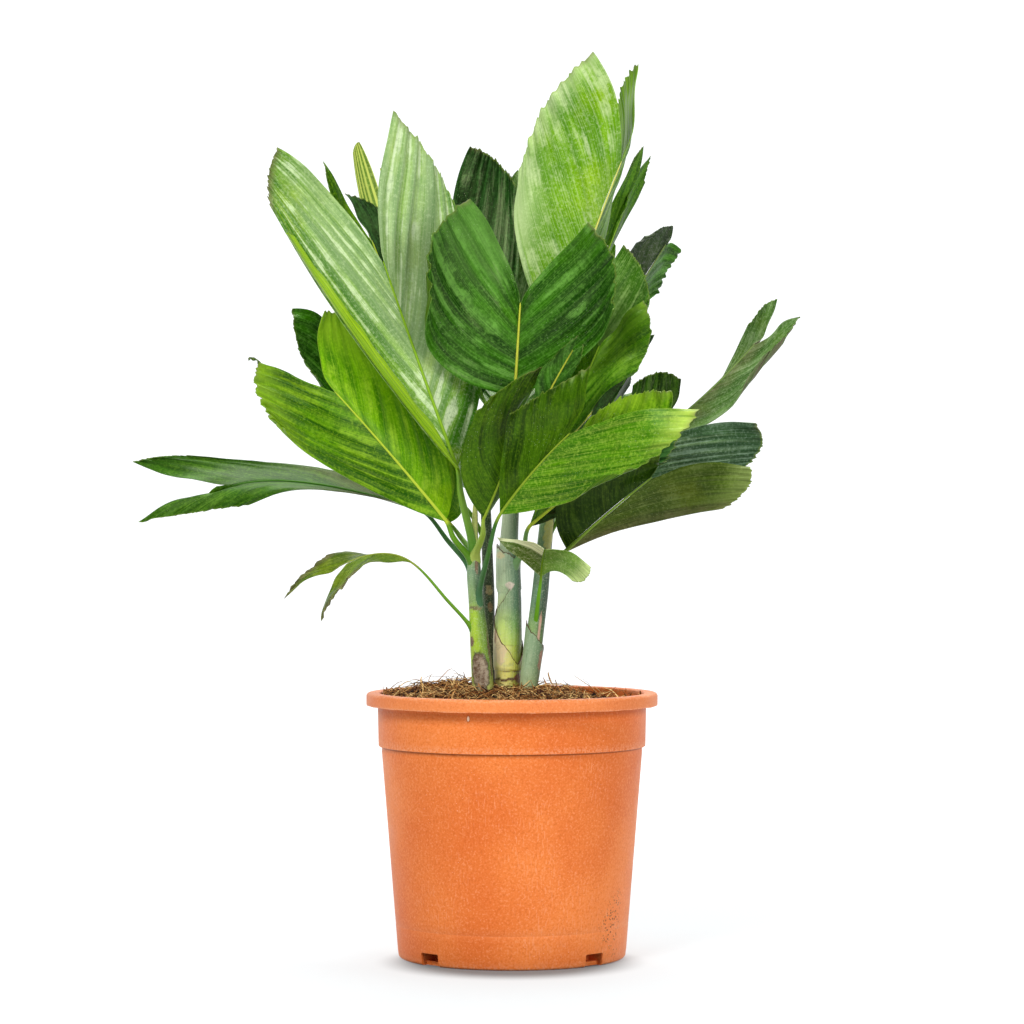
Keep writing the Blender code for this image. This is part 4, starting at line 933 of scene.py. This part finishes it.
def cane_material(name, blotch, rough):
    """Waxy stem skin over its painted tint, with fine streaks, clouds and small scars."""
    n = Nodes(name)
    around, up, rim, bark = (n.attribute(key) for key in ("around", "up", "rim", "bark"))
    streaks = n.bands(around * 90.0, up * 30.0, 2.0, 4.0, 0.6)
    grain, husk = n.noise(900.0), n.noise(260.0, 6.0, 0.7)
    colour = n.coat(
        n.attribute("tint", "Vector"),
        (streaks.step(0.48, 0.7, 0.0, 0.3), "d6deb2"), (streaks.step(0.36, 0.47, 0.4, 0.0), "305232"),
        (n.noise(150.0, 5.0, 0.6).step(0.52, 0.72, 0.0, 0.3), "4a6c3c"),
        (grain.step(0.5, 0.7, 0.0, 0.25), "d6debe"),
        (n.noise(230.0, 6.0, 0.75).step(0.61, 0.66) * blotch, "684a30"),
        (((grain - 0.5) * 1.2 + rim).step(0.4, 0.7), "583824"),
        (bark, n.mix(husk.step(0.36, 0.62), "68503a", "b0a088")))
    n.bump(streaks * 0.6 + bark * husk, 0.0006, 0.6)
    return n.finish(colour, bark * 0.35 + rough, Specular_IOR_Level=0.4)


# Canes

def blend_tones(height, stops):
    """Linear colour at each height."""
    levels, tones = zip(*stops)
    colours = np.array([linear(tone)[:3] for tone in tones]).T
    return np.stack([np.interp(height, np.array(levels) * MM, channel) for channel in colours], axis=-1)


def paint(points, azimuth, look):
    """Tint and bark of stem points: two height ramps for its left and right, the right side darkened as painted
    shade, then ragged patches.
    """
    left, right, patches = look
    height = points[..., 2]
    sideways = np.sin(azimuth - FRONT)[..., None]
    share = smooth(-0.5, 0.6, sideways)
    tint = blend_tones(height, left) * (1 - share) + blend_tones(height, right) * share
    # painted shade: the right side darkened by up to 45 percent
    tint = tint * (1 - 0.45 * smooth(0.45, 1.0, sideways))
    bark = np.zeros_like(height)
    uneven = sum(np.sin(points @ np.array(direction) + phase) for phase, direction in enumerate(
        ((900, 300, 500), (-400, 800, 900), (1500, 200, -1100), (300, -1700, 1600)))) / 4
    for turn, level, wide, tall, tone, ragged in patches:
        off = (azimuth - FRONT - turn + math.pi) % FULL_TURN - math.pi
        far = (off / wide) ** 2 + ((height - level * MM) / (tall * MM)) ** 2 + ragged * uneven
        mask = smooth(1.12, 0.88, far)
        if tone == "bark":
            bark = np.maximum(bark, mask)
            mask, tone = smooth(0.75, 0.95, far) * smooth(1.35, 1.1, far), "362416"
        tint = tint + (np.array(linear(tone)[:3]) - tint) * mask[..., None]
    return tint, bark


def build_stem(name, skin, azimuth, height, tint, bark, rim, finish, nodes=()):
    parts = Parts()
    parts.add(*skin, around=np.abs(azimuth / math.pi - 1), up=height * 1.5, rim=rim, bark=bark, tint=tint)
    parts.build(name, cane_material(*finish), nodes)


def make_cane(name, look):
    heights = np.arange(CANES[name][0][0] * MM, CANES[name][-1][0] * MM, CANE_STEP)[:, None]
    window = (heights + np.linspace(-0.006, 0.006, 7)).clip(heights[0], CANES[name][-1][0] * MM)
    x, y, radius = (column.mean(axis=1, keepdims=True) for column in cane_at(name, window))
    centres = np.concatenate([x, y, heights], axis=1)
    angles = circle(CANE_SIDES)
    azimuth, height = np.broadcast_arrays(angles, heights)
    out_of_round = 0.014 * np.sin(3 * azimuth + 40 * height) * np.sin(height * 90)
    radius = radius * (1 + out_of_round)
    east, north = np.eye(3)[:2][:, None].repeat(len(centres), axis=1)
    points, faces = tube(centres, east, north, oval(angles, radius, radius))
    tint, bark = paint(points, azimuth, look)
    skin = points - spin(BARK_DEPTH * bark, azimuth, 0.0), faces
    build_stem("cane_%s_stem" % name, skin, azimuth, height, tint, bark, 0.0,
               ("cane_%s_skin" % name, 0.5, 0.4), ["cane_" + name])


def make_sheath(name, cane, foot, notch, turn, slope, swell, look, blotch, flare):
    """A leaf sheath: a thin shell round a cane whose slanting mouth is lowest at its notch."""
    angles = np.linspace(0, FULL_TURN, SHEATH_SIDES + 1)
    off = np.abs((angles - FRONT - turn + math.pi) % FULL_TURN - math.pi)
    mouth = notch + slope * (np.sqrt(off ** 2 + 0.02) - 0.14) * (1 - 0.06 * off)
    mouth = mouth + 0.0005 * np.sin(7 * angles) + 0.0003 * np.sin(17 * angles + 1)      # ragged
    share = np.linspace(0, 1, SHEATH_ROWS)[:, None]
    height = foot + share * (mouth - foot)
    x, y, radius = cane_at(cane, height)
    middle = spin(radius + swell * smooth(0, 0.12, share) + flare * share ** 3, angles, height, x, y)
    azimuth = np.broadcast_to(angles, height.shape)
    rim = smooth(0.0014, 0.0, mouth - height)
    build_stem("sheath_" + name, shell(middle, BLADE), azimuth, height, *paint(middle, azimuth, look), rim,
               ("sheath_%s_skin" % name, blotch, 0.38))


# Pot and soil

def wall_radius(height):
    if height > COLLAR_FOOT:
        return COLLAR_RADIUS + COLLAR_DRAFT * (height - COLLAR_FOOT)
    return WALL_FOOT_RADIUS + WALL_DRAFT * height


def cavity_radius(height):
    return wall_radius(height) - WALL


def pot_profile():
    """Half section of the pot with its softened edges, from the middle of the underside round to the floor."""
    def rise(radius, low, high, count):
        return [(radius(h), h) for h in np.linspace(low, high, count)]

    def rounded(radius, height, size, start, end, count):
        angles = np.linspace(start, end, count)
        return zip(radius + size * np.cos(angles), height + size * np.sin(angles))

    quarter = math.pi / 2
    top, mouth, step = wall_radius(POT_HEIGHT), cavity_radius(POT_HEIGHT), wall_radius(COLLAR_FOOT)
    under, skirt = POT_HEIGHT - WALL, RIM_RADIUS - WALL
    return [
        (0.0, 0.0), (0.05, 0.0), (0.074, 0.0),
        *rounded(wall_radius(0) - FOOT_ROUND, FOOT_ROUND, FOOT_ROUND, -quarter, 0, 6),
        *rise(wall_radius, 0.006, MOULD_LINE - MOULD_STEP, 5),
        (wall_radius(MOULD_LINE) - 0.00022, MOULD_LINE), (wall_radius(MOULD_LINE), MOULD_LINE + MOULD_STEP),
        *rise(wall_radius, MOULD_LINE + 0.006, COLLAR_FOOT - 0.004, 24),
        (step - 0.0004, COLLAR_FOOT - 0.0014), (step - 0.0001, COLLAR_FOOT - 0.0002),
        (COLLAR_RADIUS - 0.0006, COLLAR_FOOT), (COLLAR_RADIUS - 0.0001, COLLAR_FOOT + 0.0004),
        *rise(wall_radius, COLLAR_FOOT + 0.0015, under - EDGE, 9),
        (top + 0.0004, under - 0.0004), (top + EDGE, under), (skirt - EDGE, under - EDGE),
        (skirt, LIP_FOOT + 0.0006), (skirt + 0.0004, LIP_FOOT + 0.0001),
        (RIM_RADIUS - 0.0004, LIP_FOOT), (RIM_RADIUS - 0.0001, LIP_FOOT + 0.0004),
        *rise(lambda _: RIM_RADIUS, LIP_FOOT + 0.0012, POT_HEIGHT - LIP_ROUND, 4),
        *rounded(RIM_RADIUS - LIP_ROUND, POT_HEIGHT - LIP_ROUND, LIP_ROUND, 0.2, quarter, 6),
        (top, POT_HEIGHT),
        *rounded(mouth + MOUTH_ROUND, POT_HEIGHT - MOUTH_ROUND, MOUTH_ROUND, quarter, math.pi, 5),
        *rise(cavity_radius, POT_HEIGHT - 0.004, COLLAR_FOOT + WALL, 8),
        *((cavity_radius(h), h) for h in (COLLAR_FOOT, 0.09, FLOOR + FOOT_ROUND)),
        (cavity_radius(FLOOR) - FOOT_ROUND, FLOOR), (0.0, FLOOR)]


def notch_angles():
    return [FULL_TURN * (index + 0.5) / NOTCH_COUNT for index in range(NOTCH_COUNT)]


def cut_notches(obj):
    """Cut the drain notches and remove the cutters."""
    cutters = []
    for angle in notch_angles():
        bm = bmesh.new()
        bmesh.ops.create_cube(bm, size=1.0)
        bmesh.ops.scale(bm, verts=bm.verts, vec=(NOTCH_DEPTH, NOTCH_WIDTH, 2 * NOTCH_HEIGHT))
        top_edges = [edge for edge in bm.edges if all(v.co.z > 0 for v in edge.verts)
                     or abs(edge.verts[0].co.z - edge.verts[1].co.z) > NOTCH_HEIGHT]
        bmesh.ops.bevel(bm, geom=top_edges, offset=EDGE, segments=3, affect="EDGES", profile=0.5)
        mesh = bpy.data.meshes.new("notch")
        bm.to_mesh(mesh)
        bm.free()
        cutter = show("notch", mesh)
        cutter.location = (WALL_FOOT_RADIUS * math.cos(angle), WALL_FOOT_RADIUS * math.sin(angle), 0)
        cutter.rotation_euler = (0, 0, angle)
        modifier = obj.modifiers.new("notch", "BOOLEAN")
        modifier.operation = "DIFFERENCE"
        modifier.solver = "EXACT"
        modifier.object = cutter
        cutters.append(cutter)
    shape = bpy.data.meshes.new_from_object(obj.evaluated_get(bpy.context.evaluated_depsgraph_get()))
    obj.modifiers.clear()
    obj.data = shape
    for cutter in cutters:
        bpy.data.objects.remove(cutter)


def make_pot():
    rings = np.array(pot_profile())[1:-1, :, None]
    angles = circle(POT_SEGMENTS)
    points = spin(rings[:, 0], angles, rings[:, 1])
    uneven = np.where(np.abs(rings[:, 1] - LIP_FOOT) < 0.0008, 0.00009, 0.0)    # the lip's lower edge
    points[..., 2] += uneven * (np.sin(11 * angles + 1) + np.sin(23 * angles) + 0.6 * np.sin(41 * angles))
    points, faces = lathe((0, 0, 0), points, (0, 0, FLOOR))
    height, radius = points[:, 2], np.hypot(points[:, 0], points[:, 1])
    under_step, under_lip = COLLAR_FOOT - height, LIP_FOOT - height
    # Worn edges, dirt, pale moulded lines, and the shade under the collar and the lip
    edge = np.maximum.reduce([
        smooth(0.0012, 0.0003, np.abs(under_step + 0.0010)) * (radius > 0.093) * 0.9,
        smooth(0.0016, 0.0, np.abs(under_lip)) * (radius > 0.1),
        smooth(0.003, 0.0, np.abs(height - POT_HEIGHT)), smooth(0.004, 0.0, height)])
    off = points - np.array(DIRT)
    across = off[:, 0] - 0.10 * off[:, 2] - 14 * off[:, 2] ** 2     # the dirt leans and bends as it rises
    dirt = 1.4 * np.exp(-((across / 0.0055) ** 2 + (off[:, 2] / 0.021) ** 2))
    dirt = dirt * (radius > 0.08) * (off[:, 1] < 0.02)
    pale = smooth(0.0012, 0.0, np.abs(height - MOULD_LINE)) + (under_lip < 0.001) * (radius > 0.1)
    shade = (smooth(0.0015, 0.0009, under_step) * (under_step > -0.0001) * (radius > 0.09)
             + smooth(0.006, 0.0, under_lip) * (under_lip > 0) * (radius < 0.0985) * (radius > 0.09) * 0.6)
    parts = Parts()
    parts.add(points, faces, edge=edge, dirt=dirt, pale=pale, shade=shade)
    cut_notches(parts.build("pot_shell", pot_material(), ["pot"], sharp=35))


def make_pockets():
    """The drain channels behind the notches, open to the outside and below."""
    wide, deep, thick = NOTCH_WIDTH / 2, POCKET_DEPTH, POCKET_WALL
    outline = [(-wide - thick, 0), (-wide, 0), (-wide, 1), (wide, 1), (wide, 0), (wide + thick, 0),
               (wide + thick, 1 + thick / deep), (-wide - thick, 1 + thick / deep)]
    across, inward = np.array(outline).T
    out = WALL_FOOT_RADIUS - WALL - 0.0004 - inward * (deep - 0.004)
    levels = np.array((0.0004, NOTCH_HEIGHT - 0.0002, NOTCH_HEIGHT + thick))[:, None]
    index = np.arange(24).reshape(3, 8)
    faces = [*ring_faces(index), (0, 7, 2, 1), (7, 6, 3, 2), (6, 5, 4, 3), index[2], (9, 10, 11, 12)]
    parts = Parts()
    for angle in notch_angles():
        points = spin(out, angle, levels, -math.sin(angle) * across, math.cos(angle) * across)
        parts.add(points, faces, edge=0.0, dirt=0.0, pale=0.3, shade=0.0)
    parts.build("pot_pockets", pot_material(), sharp=30)


def soil_height(x, y):
    def dome(middle_x, middle_y, reach, top):
        return top * np.exp(-((x - middle_x) ** 2 + (y - middle_y) ** 2) / reach ** 2)

    radius = np.hypot(x, y) / cavity_radius(SOIL_EDGE)
    mound = SOIL_MOUND * np.maximum(0.0, 1 - (radius / MOUND_REACH) ** 2)
    hollow = SOIL_HOLLOW * np.maximum(0.0, x + y - HOLLOW_START) / HOLLOW_LENGTH
    return SOIL_EDGE + mound - hollow + sum(dome(*heap) for heap in HEAPS) - dome(*DIP)


def soil_waves(x, y, phases):
    """Sum of turned waves, rough like crumbled peat."""
    total = sum(np.sin(scale * (x * math.cos(turn) + y * math.sin(turn)) + phase) / scale ** 0.55
                for scale, turn, phase in phases)
    return total / sum(1 / scale ** 0.55 for scale, _, _ in phases) * 2.2


def ground(x, y, phases, share=1.0):
    """Height of the soil with a share of its roughness."""
    return soil_height(x, y) + share * SOIL_ROUGHNESS * soil_waves(x, y, phases)


def make_soil():
    random = np.random.default_rng(SEED)
    phases = [(scale, random.uniform(0, FULL_TURN), random.uniform(0, FULL_TURN))
              for scale in np.geomspace(160, 3200, 26)]
    angles = circle(SOIL_SIDES)
    top = spin(np.linspace(0.01, 1, SOIL_RINGS)[:, None] * (cavity_radius(SOIL_EDGE) - 0.0003), angles, 0.0)
    top[..., 2] = ground(top[..., 0], top[..., 1], phases)
    skirt = [(cavity_radius(height) - inset, height) for height, inset in (
        (COLLAR_FOOT + WALL, 0.0006), (COLLAR_FOOT, 0.0006), (0.014, 0.0006), (0.012, 0.014))]
    skirt = np.array(skirt + [(cavity_radius(FLOOR) - 0.014, FLOOR + 0.0003)])[..., None]
    rings = np.concatenate([top, spin(skirt[:, 0], angles, skirt[:, 1])])
    points, faces = lathe((0, 0, top[0, :, 2].mean()), rings, (0, 0, FLOOR + 0.0003), flip=True)
    parts = Parts()
    grain = 0.35 + 0.4 * soil_waves(points[:, 0] * 1.7, points[:, 1] * 1.7, phases)     # finer than the relief
    parts.add(points, faces, grain=np.clip(grain, 0, 1))
    peat = soil_material("peat", "160a06", "3e2214", "744828")
    parts.build("soil_bed", peat, ["soil"])
    make_crumbs(random, phases)
    make_fibres(random, phases)


def scatter(random, reach):
    """A random spot on the soil, clear of the canes."""
    while True:
        x, y = random.uniform(-reach, reach, 2)
        canes = (cane_at(name, SOIL_EDGE + 0.006) for name in CANES)
        if math.hypot(x, y) < reach and all(math.hypot(x - cx, y - cy) >= r + 0.002 for cx, cy, r in canes):
            return x, y


def make_crumbs(random, phases):
    """Small irregular lumps of peat and bark."""
    bm = bmesh.new()
    bmesh.ops.create_icosphere(bm, subdivisions=2, radius=1.0)
    ball = np.array([v.co for v in bm.verts])
    ball_faces = [[v.index for v in face.verts] for face in bm.faces]
    bm.free()
    parts = Parts()
    reach = cavity_radius(SOIL_EDGE) - 0.003
    for _ in range(CRUMB_COUNT):
        x, y = scatter(random, reach)
        size = random.uniform(0.0007, 0.0021) * random.uniform(0.6, 1.3, 3)
        bumps = 1 + sum(
            depth * np.sin(ball @ random.uniform(-bend, bend, 3)) for depth, bend in ((0.22, 4), (0.14, 8)))
        middle = (x, y, ground(x, y, phases))
        parts.add(ball * bumps[:, None] * size + middle, ball_faces, grain=random.uniform(0, 0.75))
    crumbs = soil_material("crumbs", "180b07", "4c2816", "905e36")
    parts.build("soil_crumbs", crumbs)


def make_fibres(random, phases):
    """Coir strands that lie on the soil or curl a little out of it."""
    parts = Parts()
    angles, share = circle(4), np.linspace(-0.5, 0.5, 8)
    reach = cavity_radius(SOIL_EDGE) - 0.002
    for _ in range(FIBRE_COUNT):
        x, y = scatter(random, reach)
        length = 0.006 + 0.026 * random.uniform(0, 1) ** 1.6
        heading, turn = random.uniform(0, FULL_TURN), random.uniform(-2.0, 2.0)
        lift = random.uniform(0.0, 1.0) ** 5 * 0.5      # few strands rise
        layer = random.uniform(0.0, 1.0) ** 2 * 0.0028 * math.exp(-((x - HEAPS[0][0]) ** 2 + y * y) / 0.07 ** 2)
        bend = heading + turn * share
        ways = np.stack([np.cos(bend), np.sin(bend)]) * length / (len(share) - 1)
        px, py = np.array([[x], [y]]) + np.cumsum(ways, axis=1) - ways.sum(axis=1, keepdims=True) / 2
        shrink = np.minimum(1, reach / np.hypot(px, py))
        px, py = px * shrink, py * shrink
        pz = (ground(px, py, phases, 0.7)
              + 0.0005 + layer + (share + 0.5) * length * lift + 0.0009 * np.sin(share * 6 + turn))
        centres = np.stack([px, py, pz], axis=-1)
        along = unit(np.gradient(centres, axis=0))
        across = unit(np.cross(along, np.array((0, 0, 1.0))) + 1e-6)
        width = (random.uniform(0.00016, 0.00062) * np.sin(np.pi * (share * 0.86 + 0.5)) ** 0.5)[:, None]
        parts.add(*tube(centres, across, np.cross(across, along), oval(angles, width, width * 0.6)),
                  grain=random.uniform(0, 1) ** 0.9)
    coir = soil_material("coir", "46240e", "a66c32", "fad088")
    parts.build("soil_fibres", coir, sharp=80)


# Studio

def make_stage():
    """Pale floor that curves up into a backdrop and glows as painted light, except round the pot's foot, where
    the contact shadow is left to show.
    """
    reach, back, bend, top = 4.0, 3.2, 1.4, 4.5
    turn = np.linspace(0.05, math.pi / 2, 24)
    profile = [(-reach, 0.0), (back - bend, 0.0),
               *zip(back - bend + bend * np.sin(turn), bend - bend * np.cos(turn)), (back, top)]
    points = [(side * reach, y, z) for y, z in profile for side in (-1, 1)]
    mesh = bpy.data.meshes.new("backdrop")
    mesh.from_pydata(points, [], [(i, i + 1, i + 3, i + 2) for i in range(0, len(points) - 2, 2)])
    mesh.shade_smooth()
    n = Nodes("backdrop_paper")
    depth = n.node("SeparateXYZ", "Y", {0: n.place})
    # painted light: the paper glows and hides the lamps' shadows, except within 6 cm of a point just in front
    # of the pot (full glow from 10 cm); it glows less toward the front and more toward the back
    glow = n.distance(n.place, SHADOW_MIDDLE).step(0.060, 0.100) * depth.step(-1.4, -0.3, 0.3, 1.0)
    glow = glow * depth.step(0.2, 1.2, 0.68, 1.0)
    n.link(glow * BACKDROP_GLOW, n.shader.inputs["Emission Strength"])
    mesh.materials.append(n.finish(PAPER, 0.9, Specular_IOR_Level=0.1, Emission_Color=WHITE))
    show("backdrop", mesh)


def make_studio():
    scene = bpy.context.scene
    scene.world = bpy.data.worlds.new("studio")
    scene.world.use_nodes = True
    background = scene.world.node_tree.nodes["Background"]
    background.inputs["Color"].default_value = WHITE
    background.inputs["Strength"].default_value = SKY
    for name, place, size, watts in LIGHTS:
        data = bpy.data.lights.new(name, "AREA")
        data.shape, data.size, data.energy = "SQUARE", size, watts
        light = show(name, data)
        light.location = place
        light.rotation_euler = (Vector((0, 0, 0.35)) - light.location).to_track_quat("-Z", "Y").to_euler()
    scene.view_settings.view_transform = "Standard"
    scene.view_settings.look = "None"
    data = bpy.data.cameras.new("camera")
    data.sensor_width = SENSOR
    data.lens = SENSOR * EYE_DISTANCE / PICTURE_WIDTH
    scene.camera = show("camera", data)
    scene.camera.location = (0, -EYE_DISTANCE, EYE_HEIGHT)
    scene.camera.rotation_euler = (math.pi / 2, 0, 0)


def main():
    make_studio()
    make_stage()
    make_pot()
    make_pockets()
    make_soil()
    for name, look in CANE_LOOKS.items():
        make_cane(name, look)
    for row in SHEATHS:
        make_sheath(*row)
    for name, row in FRONDS.items():
        make_frond(name, *row)
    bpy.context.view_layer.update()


main()
